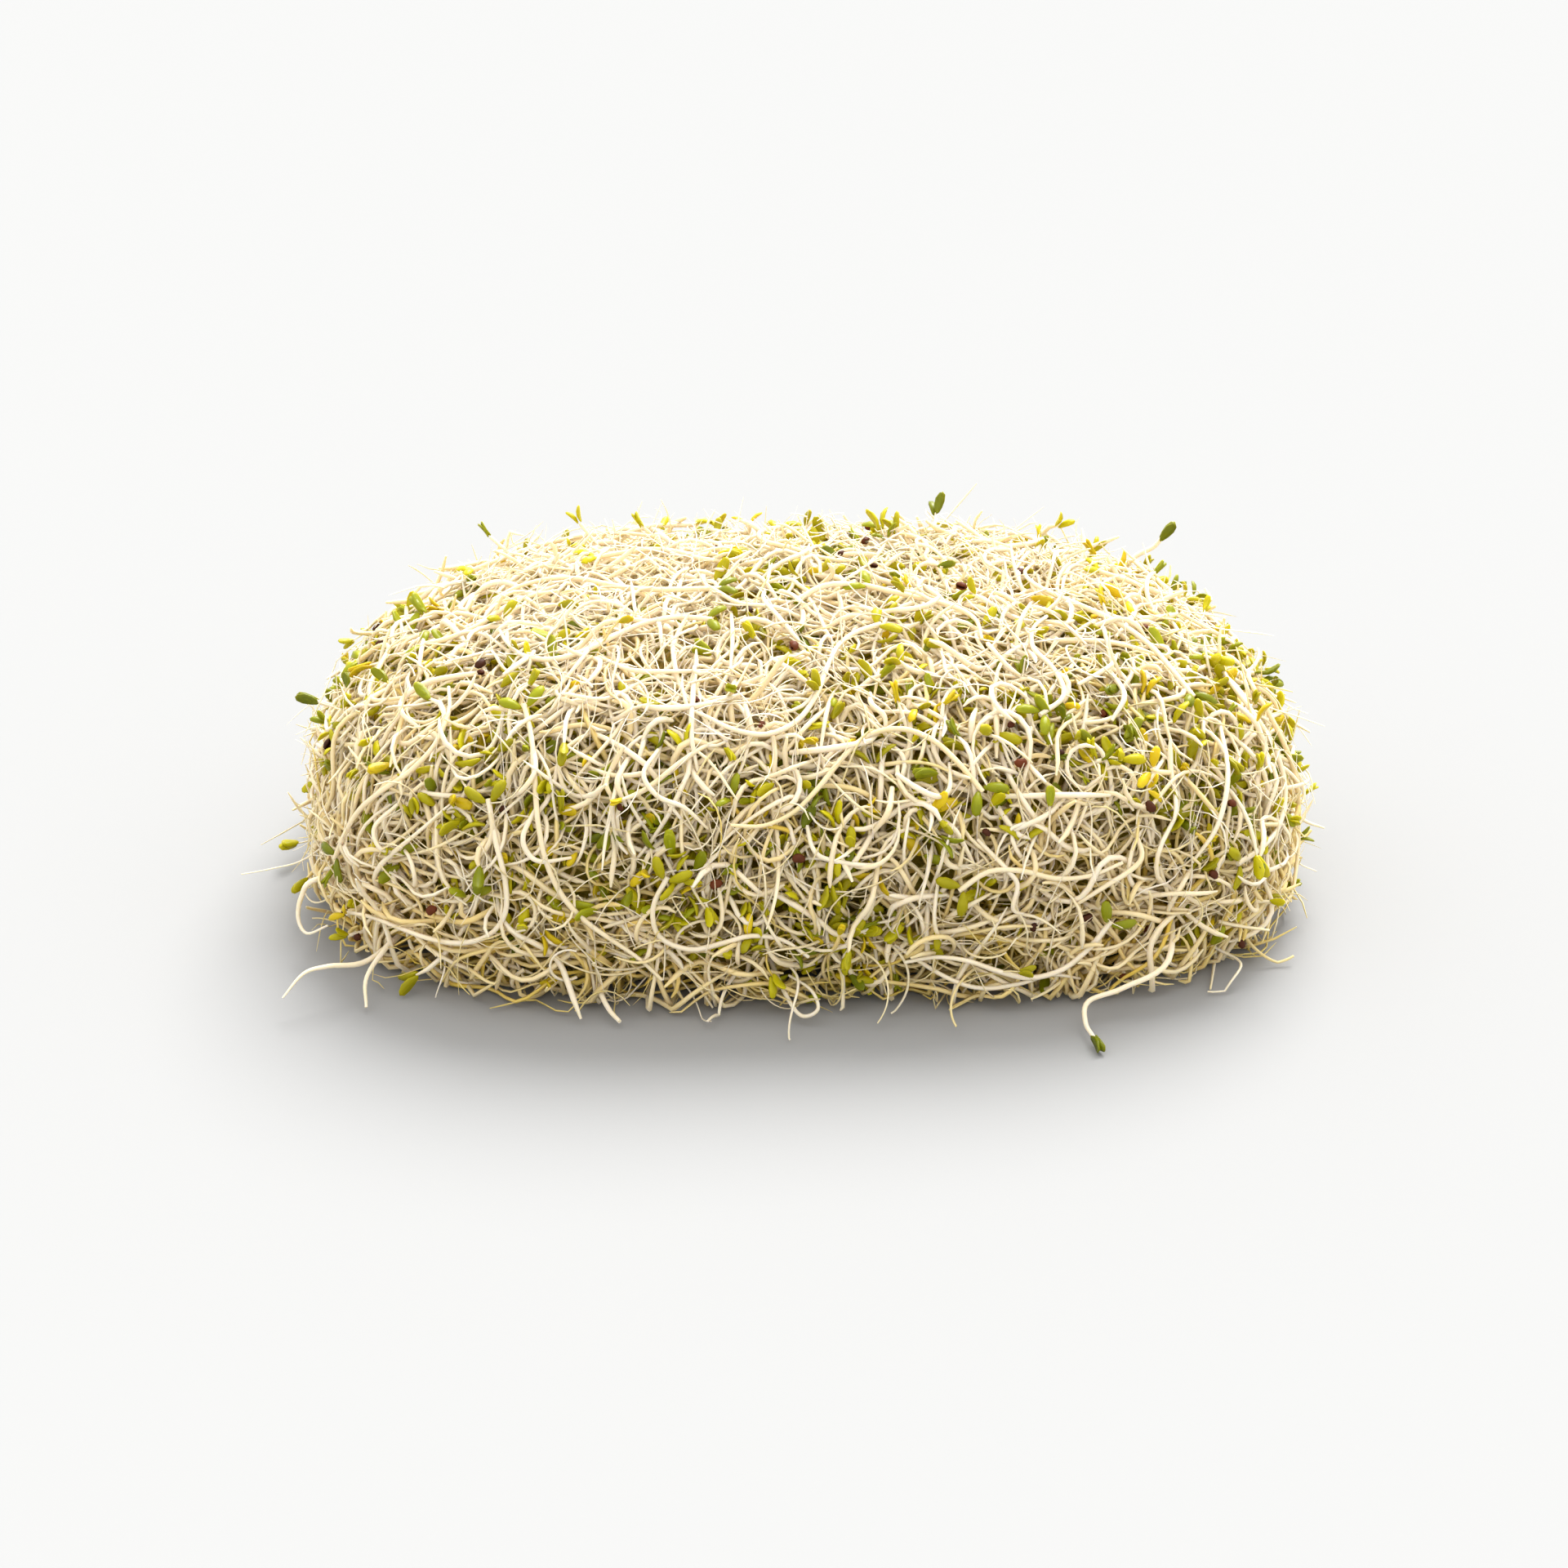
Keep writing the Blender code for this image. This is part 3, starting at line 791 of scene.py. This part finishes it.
def loose_route(index, taken):
    """The route of one loose sprout: its points, the way its leaves point, and how far they open."""
    for attempt in range(MOST_TRIES):
        rng = random.Random(LOOSE_SEED + 1000 * index + attempt)
        way = stem_way(rng, random_direction(rng), LOOSE_LENGTHS, LOOSE_STEP)
        line = [over_core(direction, LOOSE_HEIGHT) for direction in way]
        normal = outward(way[-1])
        ahead = (line[-1] - line[-2]).normalized()
        base = line[-1] - ahead * LEAF_SUNK
        ahead = (ahead + normal * 0.15).normalized()
        spread = rng.uniform(*LEAF_SPREADS)
        shape = with_middles(line) + leaf_tips(base, ahead, normal, SOLID_LEAF_LENGTH, spread)
        if min(p.z for p in shape) > LOWEST_LOOSE and clear_of(shape, taken, LOOSE_SPACING):
            break
    taken.extend(shape)
    return line, base, ahead, normal, spread


def facing(base, ahead, up):
    """The matrix that stands a leaf pair at base, along ahead, with its +X side towards up."""
    side = up.cross(ahead).normalized() * -1
    up = side.cross(ahead).normalized()
    turn = Matrix((up, ahead.cross(up), ahead)).transposed().to_4x4()
    return Matrix.Translation(base) @ turn


taken = [point for _, points, _ in STRAYS for point in smooth_points(points, STRAY_STEPS)]
loose_stems = []
lying_pairs = {}
for index in range(1, LOOSE_SPROUTS + 1):
    line, base, ahead, normal, spread = loose_route(index, taken)
    fine = smooth_points(line, 4)
    count = len(fine) - 1
    radii = [ROOT_TIP_RADIUS + (LOOSE_RADIUS - ROOT_TIP_RADIUS) * min(1, 2.5 * i / count)
             for i in range(count + 1)]
    loose_stems.append((fine, radii, None))
    habit = round(spread, 1)
    if habit not in lying_pairs:
        lying_pairs[habit] = leaf_pair("lying_pair", habit, math.pi / 2)
    copy = place_leaves(lying_pairs[habit], facing(base, ahead, normal), (index * 7 % 10) / 10)
    if copy:
        leaf_objects[index % 2].append(copy)
loose_tones = [index * 5 % 7 / 20 for index in range(LOOSE_SPROUTS)]
piece = tube_piece("loose_sprouts", loose_stems, loose_tones, 6)
piece.data.materials.append(stem_material)
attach(piece, "root")
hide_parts(*[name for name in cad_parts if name.startswith("loose_sprout")])


# The stray stems
# Single stems and roots hang out of the pack at its foot and sides, each on the route of its solid.
# Leaf pairs stand up out of the outline on short stalks, and four thin wisps curl out at the foot.
STANDING_STALK = 0.007
STANDING_RADIUS = 0.00026
STANDING_SIZE = 0.72
STRAY_RADIUS = 0.00044
STRAY_TONE = 0.12
ROOT_END = 0.00014
STALK_END = 0.00030
STRAY_OVERLAP = 0.0006
STRAY_LEAF_TONE = 0.9
# Where each pair stands, which of the modelled pairs it is, and which leaf colour it has.
STANDING = (
    (-0.0114, 0.0260, 0.0432, 2, 0), (-0.0070, 0.0262, 0.0434, 2, 2), (0.0191, 0.0260, 0.0404, 1, 0),
    (0.0346, 0.0300, 0.0372, 2, 0), (0.0525, 0.0200, 0.0370, 0, 1), (0.0580, 0.0160, 0.0350, 2, 1),
    (0.0560, 0.0120, 0.0362, 2, 0), (0.0545, 0.0160, 0.0360, 1, 1), (0.0664, 0.0040, 0.0284, 2, 0),
    (0.0672, 0.0010, 0.0268, 2, 1), (0.0680, -0.0040, 0.0224, 2, 0), (0.0664, 0.0010, 0.0240, 1, 1),
    (0.0690, -0.0140, 0.0096, 1, 1), (0.0664, -0.0200, 0.0052, 0, 1), (-0.0668, -0.0060, 0.0264, 1, 1),
    (-0.0650, -0.0140, 0.0262, 2, 0), (-0.0634, -0.0290, 0.0080, 2, 2), (-0.0632, -0.0300, 0.0052, 1, 0),
    (-0.0316, 0.0200, 0.0462, 1, 0), (-0.0448, 0.0220, 0.0436, 0, 1), (0.0440, 0.0240, 0.0392, 1, 0),
)
WISPS = (
    (
        ((-0.0640, -0.0130, 0.0140), (-0.0700, -0.0150, 0.0098), (-0.0750, -0.0155, 0.0085),
         (-0.0790, -0.0160, 0.0080)),
        0.00016,
    ),
    (
        ((0.0640, -0.0150, 0.0130), (0.0688, -0.0160, 0.0100), (0.0690, -0.0160, 0.0070),
         (0.0718, -0.0160, 0.0054)),
        0.00016,
    ),
    (((-0.0570, -0.0330, 0.0060), (-0.0600, -0.0392, 0.0038), (-0.0600, -0.0426, 0.0009)), 0.00042),
    (
        ((-0.0070, -0.0390, 0.0070), (-0.0047, -0.0450, 0.0034), (-0.0026, -0.0482, 0.0014),
         (-0.0004, -0.0488, 0.0026), (-0.0012, -0.0468, 0.0044), (-0.0040, -0.0440, 0.0052)),
        0.00036,
    ),
)
stray_stems = []
for points, radius in WISPS:
    line = smooth_points(points, 6)
    count = len(line) - 1
    stray_stems.append((line, [radius * (1 - 0.5 * i / count) for i in range(count + 1)], None))
for x, y, z, habit, group in STANDING:
    base = Vector((x, y, z))
    ahead = ((base - MIDDLE).normalized() + Vector((0, 0, 0.5))).normalized()
    foot = base - (base - MIDDLE).normalized() * STANDING_STALK
    line = smooth_points((foot, (foot + base) / 2 + Vector((0, 0.0004, -0.0004)), base), 4)
    stray_stems.append((line, [STANDING_RADIUS] * len(line), None))
    spin = Matrix.Rotation(x * 900, 4, "Z") @ Matrix.Scale(STANDING_SIZE, 4)
    copy = place_leaves(pairs[habit], facing(base, ahead, Vector((0, 1, 0.1))) @ spin, 0.2 + abs(x) * 5)
    leaf_objects[group].append(copy)
for name, points, leaves in STRAYS:
    line = smooth_points(points, 6)
    count = len(line) - 1
    thin = ROOT_END if leaves == 0 else STALK_END
    radii = [STRAY_RADIUS + (thin - STRAY_RADIUS) * (i / count) ** 1.3 for i in range(count + 1)]
    stray_stems.append((line, radii, None))
    if leaves:
        ahead = (line[-1] - line[-2]).normalized()
        matrix = facing(line[-1] - ahead * STRAY_OVERLAP, ahead, Vector((0, 0, 1)))
        copy = place_leaves(pairs[0], matrix, STRAY_LEAF_TONE)
        if copy:
            leaf_objects[1].append(copy)
piece = tube_piece("stray_stems", stray_stems, [STRAY_TONE] * len(stray_stems), 6)
piece.data.materials.append(stem_material)
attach(piece, "root")


# The stems on top
# The thickest, whitest stalks lie over all the others. Their ends slip back down into the tangle.
# Each is one round tube along its own route on the pack's skin.
TOP_RADIUS = 0.00040
TOP_DIP = 0.0016
TOP_ROUTES = (
    ((-0.0295, -0.0240, 0.0436), (-0.0240, -0.0285, 0.0428), (-0.0192, -0.0290, 0.0427),
     (-0.0123, -0.0277, 0.0429)),
    ((-0.0240, -0.0338, 0.0403), (-0.0197, -0.0348, 0.0399), (-0.0150, -0.0344, 0.0401),
     (-0.0095, -0.0317, 0.0411)),
    ((-0.0160, -0.0251, 0.0439), (-0.0161, -0.0329, 0.0409), (-0.0164, -0.0381, 0.0374),
     (-0.0162, -0.0415, 0.0339)),
    ((0.0022, -0.0329, 0.0397), (-0.0015, -0.0366, 0.0377), (-0.0043, -0.0394, 0.0356)),
    ((-0.0038, -0.0395, 0.0355), (0.0014, -0.0390, 0.0356), (0.0063, -0.0381, 0.0361),
     (0.0083, -0.0369, 0.0370)),
    ((0.0076, -0.0311, 0.0405), (0.0073, -0.0333, 0.0394), (0.0089, -0.0351, 0.0383),
     (0.0092, -0.0372, 0.0368)),
    ((-0.0058, -0.0246, 0.0434), (-0.0029, -0.0280, 0.0421), (-0.0000, -0.0303, 0.0411)),
    ((-0.0110, -0.0128, 0.0456), (-0.0106, -0.0217, 0.0444), (-0.0115, -0.0277, 0.0429)),
    ((0.0207, -0.0461, 0.0212), (0.0171, -0.0461, 0.0218), (0.0160, -0.0458, 0.0234),
     (0.0170, -0.0454, 0.0248), (0.0188, -0.0456, 0.0238)),
    ((0.0169, -0.0445, 0.0273), (0.0178, -0.0450, 0.0259), (0.0208, -0.0460, 0.0214)),
    ((0.0212, -0.0452, 0.0248), (0.0244, -0.0459, 0.0209), (0.0257, -0.0461, 0.0188),
     (0.0252, -0.0463, 0.0155), (0.0282, -0.0461, 0.0138)),
    ((0.0094, -0.0465, 0.0144), (0.0097, -0.0466, 0.0165), (0.0126, -0.0466, 0.0176),
     (0.0171, -0.0465, 0.0172)),
    ((-0.0071, -0.0463, 0.0183), (-0.0039, -0.0464, 0.0171), (-0.0004, -0.0463, 0.0145),
     (0.0026, -0.0462, 0.0121), (0.0076, -0.0464, 0.0124)),
    ((0.0429, -0.0424, 0.0239), (0.0420, -0.0435, 0.0207), (0.0365, -0.0451, 0.0174),
     (0.0320, -0.0458, 0.0134)),
    ((0.0102, -0.0462, 0.0096), (0.0165, -0.0460, 0.0056), (0.0214, -0.0455, 0.0035),
     (0.0262, -0.0457, 0.0041), (0.0306, -0.0457, 0.0054), (0.0358, -0.0447, 0.0033)),
    ((0.0244, -0.0428, 0.0300), (0.0325, -0.0421, 0.0298), (0.0393, -0.0411, 0.0291)),
    ((0.0251, -0.0448, 0.0255), (0.0291, -0.0437, 0.0275), (0.0331, -0.0423, 0.0293)),
    ((-0.0017, -0.0450, 0.0272), (-0.0009, -0.0458, 0.0244), (0.0012, -0.0461, 0.0230),
     (0.0069, -0.0462, 0.0222), (0.0099, -0.0459, 0.0234)),
    ((0.0099, -0.0424, 0.0314), (0.0088, -0.0441, 0.0287), (0.0072, -0.0452, 0.0261)),
    ((0.0105, -0.0413, 0.0329), (0.0127, -0.0424, 0.0313), (0.0154, -0.0430, 0.0303),
     (0.0169, -0.0423, 0.0312), (0.0177, -0.0402, 0.0339)),
    ((-0.0493, -0.0008, 0.0406), (-0.0523, -0.0052, 0.0393), (-0.0530, -0.0129, 0.0385),
     (-0.0543, -0.0163, 0.0373)),
    ((-0.0420, 0.0075, 0.0429), (-0.0447, 0.0059, 0.0422), (-0.0487, -0.0007, 0.0409)),
    ((-0.0447, -0.0217, 0.0406), (-0.0509, -0.0202, 0.0383), (-0.0546, -0.0206, 0.0362),
     (-0.0549, -0.0235, 0.0351), (-0.0537, -0.0268, 0.0344)),
    ((-0.0588, -0.0130, 0.0349), (-0.0601, -0.0154, 0.0334), (-0.0617, -0.0174, 0.0314)),
    ((0.0362, -0.0288, 0.0402), (0.0397, -0.0250, 0.0408), (0.0428, -0.0198, 0.0411)),
    ((0.0476, 0.0041, 0.0403), (0.0457, -0.0062, 0.0411), (0.0433, -0.0147, 0.0416)),
    ((0.0411, -0.0248, 0.0405), (0.0411, -0.0298, 0.0386), (0.0403, -0.0335, 0.0368)),
    ((0.0562, -0.0261, 0.0332), (0.0548, -0.0338, 0.0288), (0.0530, -0.0383, 0.0234),
     (0.0509, -0.0405, 0.0186)),
    ((-0.0275, -0.0403, 0.0345), (-0.0275, -0.0419, 0.0322), (-0.0267, -0.0433, 0.0297)),
    ((-0.0255, -0.0399, 0.0352), (-0.0261, -0.0419, 0.0326), (-0.0258, -0.0434, 0.0298)),
    ((-0.0376, -0.0415, 0.0291), (-0.0384, -0.0425, 0.0256), (-0.0378, -0.0432, 0.0233),
     (-0.0360, -0.0438, 0.0224), (-0.0332, -0.0443, 0.0228)),
    ((-0.0214, -0.0394, 0.0362), (-0.0227, -0.0415, 0.0336), (-0.0209, -0.0431, 0.0311),
     (-0.0175, -0.0439, 0.0298), (-0.0150, -0.0450, 0.0270)),
    ((0.0208, -0.0381, 0.0359), (0.0203, -0.0357, 0.0378), (0.0219, -0.0337, 0.0391)),
    ((0.0243, -0.0313, 0.0404), (0.0235, -0.0357, 0.0377), (0.0241, -0.0396, 0.0342)),
    ((-0.0382, -0.0359, 0.0361), (-0.0367, -0.0391, 0.0334), (-0.0382, -0.0401, 0.0312),
     (-0.0410, -0.0400, 0.0298)),
    ((-0.0567, -0.0329, 0.0259), (-0.0585, -0.0327, 0.0226), (-0.0578, -0.0341, 0.0202),
     (-0.0561, -0.0356, 0.0195)),
)
top_stems = []
for number, route in enumerate(TOP_ROUTES):
    ends = [Vector(p) for p in route]
    for k in (0, -1):
        ends[k] = ends[k] + (MIDDLE - ends[k]).normalized() * TOP_DIP
    line = smooth_points(ends, 6)
    count = len(line) - 1
    full = TOP_RADIUS * (0.8 + 0.3 * (number * 5 % 7) / 6)
    radii = [full * (1 - 0.45 * abs(2 * i / count - 0.8) ** 2 / 1.44) for i in range(count + 1)]
    top_stems.append((line, radii, None))
piece = tube_piece("top_stems", top_stems, [number * 3 % 5 / 25 for number in range(len(top_stems))], 6)
piece.data.materials.append(stem_material)
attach(piece, "root")


# The hanging fringe
# Short ends of stems slip out at the foot of the pack, curl in the air and rest on what it stands on.
# Each is a thin tube that sags a little, and runs on level where it meets what the pack stands on.
FRINGE_STEMS = 64
FRINGE_LENGTHS = (0.006, 0.016)
FRINGE_STEP = 0.0008
FRINGE_LEAVES = 0.22
FRINGE_FRONT = 0.7
FRINGE_SLOPES = (0.08, 0.20)
FRINGE_DEPTHS = (0.0010, 0.0050)
FRINGE_CURLS = (110, 420)
FRINGE_RADII = (0.00014, 0.00036)
FRINGE_WEIGHT = 0.02
FLOOR_GAP = 0.0003
rng = random.Random(505)
fringe = []
fringe_leaves = []
for _ in range(FRINGE_STEMS):
    round_way = rng.triangular(-math.pi, 0) if rng.random() < FRINGE_FRONT else rng.triangular(0, math.pi)
    flat = Vector((math.cos(round_way) * PACK_WIDTH, math.sin(round_way) * PACK_DEPTH, 0)).normalized()
    direction = (flat - Vector((0, 0, rng.uniform(*FRINGE_SLOPES)))).normalized()
    point = pack_point(direction, rng.uniform(*FRINGE_DEPTHS))
    normal = outward(direction)
    aside = normal.cross(Vector((0, 0, 1))) * rng.choice((-1, 1)) * rng.uniform(0.4, 2.0)
    heading = (normal * 0.6 + aside + Vector((0, 0, rng.uniform(-0.8, 0.2)))).normalized()
    axis = Vector([rng.gauss(0, 1) for _ in range(3)]).normalized()
    curl = rng.uniform(*FRINGE_CURLS)
    radius = rng.uniform(*FRINGE_RADII)
    count = round(rng.uniform(*FRINGE_LENGTHS) / FRINGE_STEP)
    points = []
    for i in range(count + 1):
        if point.z < radius + FLOOR_GAP:
            point = Vector((point.x, point.y, radius + FLOOR_GAP))
            heading = Vector((heading.x, heading.y, 0.15)).normalized()
        points.append(point)
        turned = Matrix.Rotation(curl * FRINGE_STEP, 3, axis) @ heading
        heading = (turned - Vector((0, 0, FRINGE_WEIGHT))).normalized()
        point = point + heading * FRINGE_STEP
    fringe.append((points, [radius * (1 - 0.45 * i / count) for i in range(count + 1)], None))
    if rng.random() < FRINGE_LEAVES:
        ahead = (points[-1] - points[-2]).normalized()
        matrix = facing(points[-1], ahead, Vector((0.1, 0.2, 1)))
        spin = Matrix.Rotation(rng.uniform(0, math.tau), 4, "Z")
        copy = place_leaves(rng.choice(pairs), matrix @ spin, rng.random())
        if copy:
            fringe_leaves.append(copy)
piece = tube_piece("fringe_stems", fringe, [rng.uniform(0, 0.5) for _ in fringe], 4)
piece.data.materials.append(stem_material)
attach(piece, "root")
leaf_objects[0].extend(fringe_leaves)

# The leaves of all the sections so far become one piece for each colour.
for (name, pale, deep), copies in zip(LEAF_GROUPS, leaf_objects):
    piece = joined(name, copies)
    piece.data.materials.append(
        tissue_material(name + "_skin", pale, deep, deep, 0.36, (420, 0.5), 0.0001, 0.35)
    )
    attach(piece, "root")
for master in (half_hidden, *pairs, *lying_pairs.values()):
    bpy.data.objects.remove(master)


# The fine roots
# Hair-thin root ends curl out of the tangle all over and make its outline soft.
# They wander by the rule of the thicker stems, and more of them lie on top.
FINE_ROOTS = 900
TOP_ROOTS = 260
TOP_ROOTS_ABOVE = 0.036
FINE_LENGTHS = (0.006, 0.017)
FINE_RADII = (0.00008, 0.00016)
FINE_LIFTS = (0.0, 0.0014, 0.0030)
FINE_HEIGHTS = (0.0044, 0.0066)
FINE_TONES = (0.1, 0.4)
rng = random.Random(303)
fine_stems = []
for number in range(FINE_ROOTS + TOP_ROOTS):
    direction = random_direction(rng)
    while number >= FINE_ROOTS and pack_point(direction, 0).z < TOP_ROOTS_ABOVE:
        direction = random_direction(rng)
    height = rng.uniform(*FINE_HEIGHTS)
    length = rng.uniform(*FINE_LENGTHS)
    radius = rng.uniform(*FINE_RADII)
    fine_stems.append(wandering_stem(rng, direction, height, length, radius, FINE_LIFTS))
fine_tones = [stem_tone(rng, stem[0][0], FINE_TONES) for stem in fine_stems]
piece = tube_piece("fine_roots", fine_stems, fine_tones, 3)
piece.data.materials.append(stem_material)
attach(piece, "root")


# The seed hulls
# The brown coat that each seed shed: a thin bean-shaped shell, split along one side, dry and matte.
# One is modelled and copied to the place of each solid, on the pack's skin and deeper in the tangle.
HULL_LENGTH = 0.0023
HULL_WIDTH = 0.0017
HULL_HEIGHT = 0.0013
HULL_WALL = 0.00012
HULL_SUNK = 0.0005
SOLID_HULL_SIZE = 0.85
SKIN_HULL_SIZES = (0.55, 0.8)
DEEP_HULLS = 14
DEEP_HULL_SIZES = (0.6, 0.85)
DEEP_HULL_HEIGHTS = (0.0015, 0.0050)
SKIN_HULLS = (
    (-0.0444, -0.0220, 0.0406), (-0.0159, -0.0333, 0.0407), (-0.0258, -0.0434, 0.0298),
    (0.0056, 0.0058, 0.0467), (0.0555, -0.0357, 0.0253), (0.0255, -0.0357, 0.0376),
    (-0.0603, 0.0049, 0.0344), (0.0470, -0.0094, 0.0407), (0.0528, -0.0398, 0.0166),
    (0.0581, -0.0363, 0.0043), (-0.0623, -0.0307, 0.0052), (-0.0641, -0.0283, 0.0077),
    (0.0317, -0.0385, 0.0345), (0.0409, -0.0430, 0.0030), (0.0308, 0.0036, 0.0444),
    (0.0578, 0.0059, 0.0352), (-0.0391, 0.0161, 0.0430), (-0.0117, 0.0137, 0.0454),
    (0.0098, 0.0005, 0.0467), (-0.0080, -0.0132, 0.0456), (0.0216, -0.0448, 0.0259),
    (-0.0072, -0.0363, 0.0383), (0.0281, -0.0461, 0.0124), (0.0353, -0.0454, 0.0134),
)
bpy.ops.object.select_all(action="DESELECT")
bpy.ops.mesh.primitive_uv_sphere_add(segments=10, ring_count=8, radius=0.5)
hull_master = bpy.context.object
for vert in hull_master.data.vertices:
    dent = 0.35 * math.exp(-((vert.co.x / 0.2) ** 2)) * max(0, vert.co.y)
    wrinkle = 1 + 0.10 * math.sin(vert.co.x * 17 + 2) * math.cos(vert.co.z * 15 + vert.co.y * 8)
    vert.co.x *= HULL_LENGTH * wrinkle * (0.86 if vert.co.x > 0 else 1.0)
    vert.co.y = (vert.co.y - dent) * HULL_WIDTH * wrinkle
    vert.co.z *= HULL_HEIGHT * wrinkle
bpy.ops.object.mode_set(mode="EDIT")
bpy.ops.mesh.select_all(action="DESELECT")
mesh = bmesh.from_edit_mesh(hull_master.data)
for face in mesh.faces:
    centre = face.calc_center_median()
    face.select = centre.y > 0.12 * HULL_WIDTH and abs(centre.z) < 0.16 * HULL_HEIGHT
bmesh.update_edit_mesh(hull_master.data)
bpy.ops.mesh.delete(type="FACE")
bpy.ops.object.mode_set(mode="OBJECT")
wall = hull_master.modifiers.new("wall", "SOLIDIFY")
wall.thickness = HULL_WALL
wall.offset = -1
bpy.ops.object.modifier_apply(modifier="wall")
bpy.ops.object.shade_smooth()
rng = random.Random(404)
hull_places = []
hull_nodes = [name for name in sorted(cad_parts) if name.startswith("seed_hull")]
for name in hull_nodes:
    low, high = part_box(name)
    spot = (low + high) / 2
    hull_places.append((spot, outward((spot - MIDDLE).normalized()), SOLID_HULL_SIZE))
for place in SKIN_HULLS:
    direction = (Vector(place) - MIDDLE).normalized()
    sunk = Vector(place) - outward(direction) * HULL_SUNK
    hull_places.append((sunk, outward(direction), rng.uniform(*SKIN_HULL_SIZES)))
for _ in range(DEEP_HULLS):
    direction = random_direction(rng)
    normal = outward(direction)
    spot = pack_point(direction, CORE_INSET) + normal * rng.uniform(*DEEP_HULL_HEIGHTS)
    hull_places.append((spot, normal, rng.uniform(*DEEP_HULL_SIZES)))
hulls = []
for spot, normal, size in hull_places:
    upright = normal.to_track_quat("Z", "Y").to_matrix().to_4x4()
    turn = Matrix.Rotation(rng.uniform(0, math.tau), 4, normal)
    copy = hull_master.copy()
    copy.data = hull_master.data.copy()
    copy.data.transform(Matrix.Translation(spot) @ turn @ upright @ Matrix.Scale(size, 4))
    bpy.context.scene.collection.objects.link(copy)
    set_tone(copy, rng.random())
    hulls.append(copy)
bpy.data.objects.remove(hull_master)
piece = joined("seed_hulls", hulls)
piece.data.materials.append(
    tissue_material(
        "hull_skin", (0.13, 0.026, 0.004), (0.04, 0.010, 0.002), (0.035, 0.010, 0.002),
        0.6, (900, 0.6), 0.0002,
    )
)
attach(piece, "root")
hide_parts(*hull_nodes)


# The floor, the light and the camera
# A plain pale floor, a soft key light from behind and above, a faint wide one from overhead, and a sky.
# The camera looks down at 24 degrees from the front of the pack.
FLOOR_SIZE = 4.0
AIM = Vector((0, 0, 0.020))
AIM_SHIFT = (-0.0028, -0.0063)
CAMERA_AZIMUTH = math.radians(-2.4)
CAMERA_ELEVATION = math.radians(24.2)
CAMERA_DISTANCE = 0.45
CAMERA_LENS = 72.2
FLOOR_COLOUR = (0.314, 0.314, 0.311, 1)
SKY_STRENGTH = 1.38
KEY_FROM = Vector((0.28, 0.78, 1.0))
KEY_ENERGY = 6.1
KEY_ANGLE = math.radians(38)
FILL_FROM = Vector((0.0, -0.15, 1.0))
FILL_ENERGY = 0.5
FILL_ANGLE = math.radians(60)
bpy.ops.mesh.primitive_plane_add(size=FLOOR_SIZE, location=(0, 0, 0))
floor = bpy.context.object
floor.name = "floor"
floor_material = bpy.data.materials.new("floor")
floor_material.use_nodes = True
floor_shader = floor_material.node_tree.nodes["Principled BSDF"]
floor_shader.inputs["Base Color"].default_value = FLOOR_COLOUR
floor_shader.inputs["Roughness"].default_value = 0.9
floor_shader.inputs["Specular IOR Level"].default_value = 0.0
floor.data.materials.append(floor_material)

world = bpy.data.worlds.new("sky")
world.use_nodes = True
world.node_tree.nodes["Background"].inputs["Color"].default_value = (1.0, 1.0, 1.0, 1)
world.node_tree.nodes["Background"].inputs["Strength"].default_value = SKY_STRENGTH
bpy.context.scene.world = world

key_data = bpy.data.lights.new("key", "SUN")
key_data.energy = KEY_ENERGY
key_data.angle = KEY_ANGLE
key = bpy.data.objects.new("key", key_data)
key.rotation_euler = KEY_FROM.to_track_quat("Z", "Y").to_euler()
bpy.context.scene.collection.objects.link(key)

fill_data = bpy.data.lights.new("fill", "SUN")
fill_data.energy = FILL_ENERGY
fill_data.angle = FILL_ANGLE
fill = bpy.data.objects.new("fill", fill_data)
fill.rotation_euler = FILL_FROM.to_track_quat("Z", "Y").to_euler()
bpy.context.scene.collection.objects.link(fill)

camera_data = bpy.data.cameras.new("camera")
camera_data.lens = CAMERA_LENS
camera = bpy.data.objects.new("camera", camera_data)
back = Vector((
    math.sin(CAMERA_AZIMUTH) * math.cos(CAMERA_ELEVATION),
    -math.cos(CAMERA_AZIMUTH) * math.cos(CAMERA_ELEVATION),
    math.sin(CAMERA_ELEVATION),
))
right = Vector((0, 0, 1)).cross(back).normalized()
up = back.cross(right)
camera.location = AIM + back * CAMERA_DISTANCE + right * AIM_SHIFT[0] + up * AIM_SHIFT[1]
camera.rotation_mode = "QUATERNION"
camera.rotation_quaternion = back.to_track_quat("Z", "Y")
bpy.context.scene.collection.objects.link(camera)
bpy.context.scene.camera = camera
bpy.context.scene.view_settings.view_transform = "Standard"
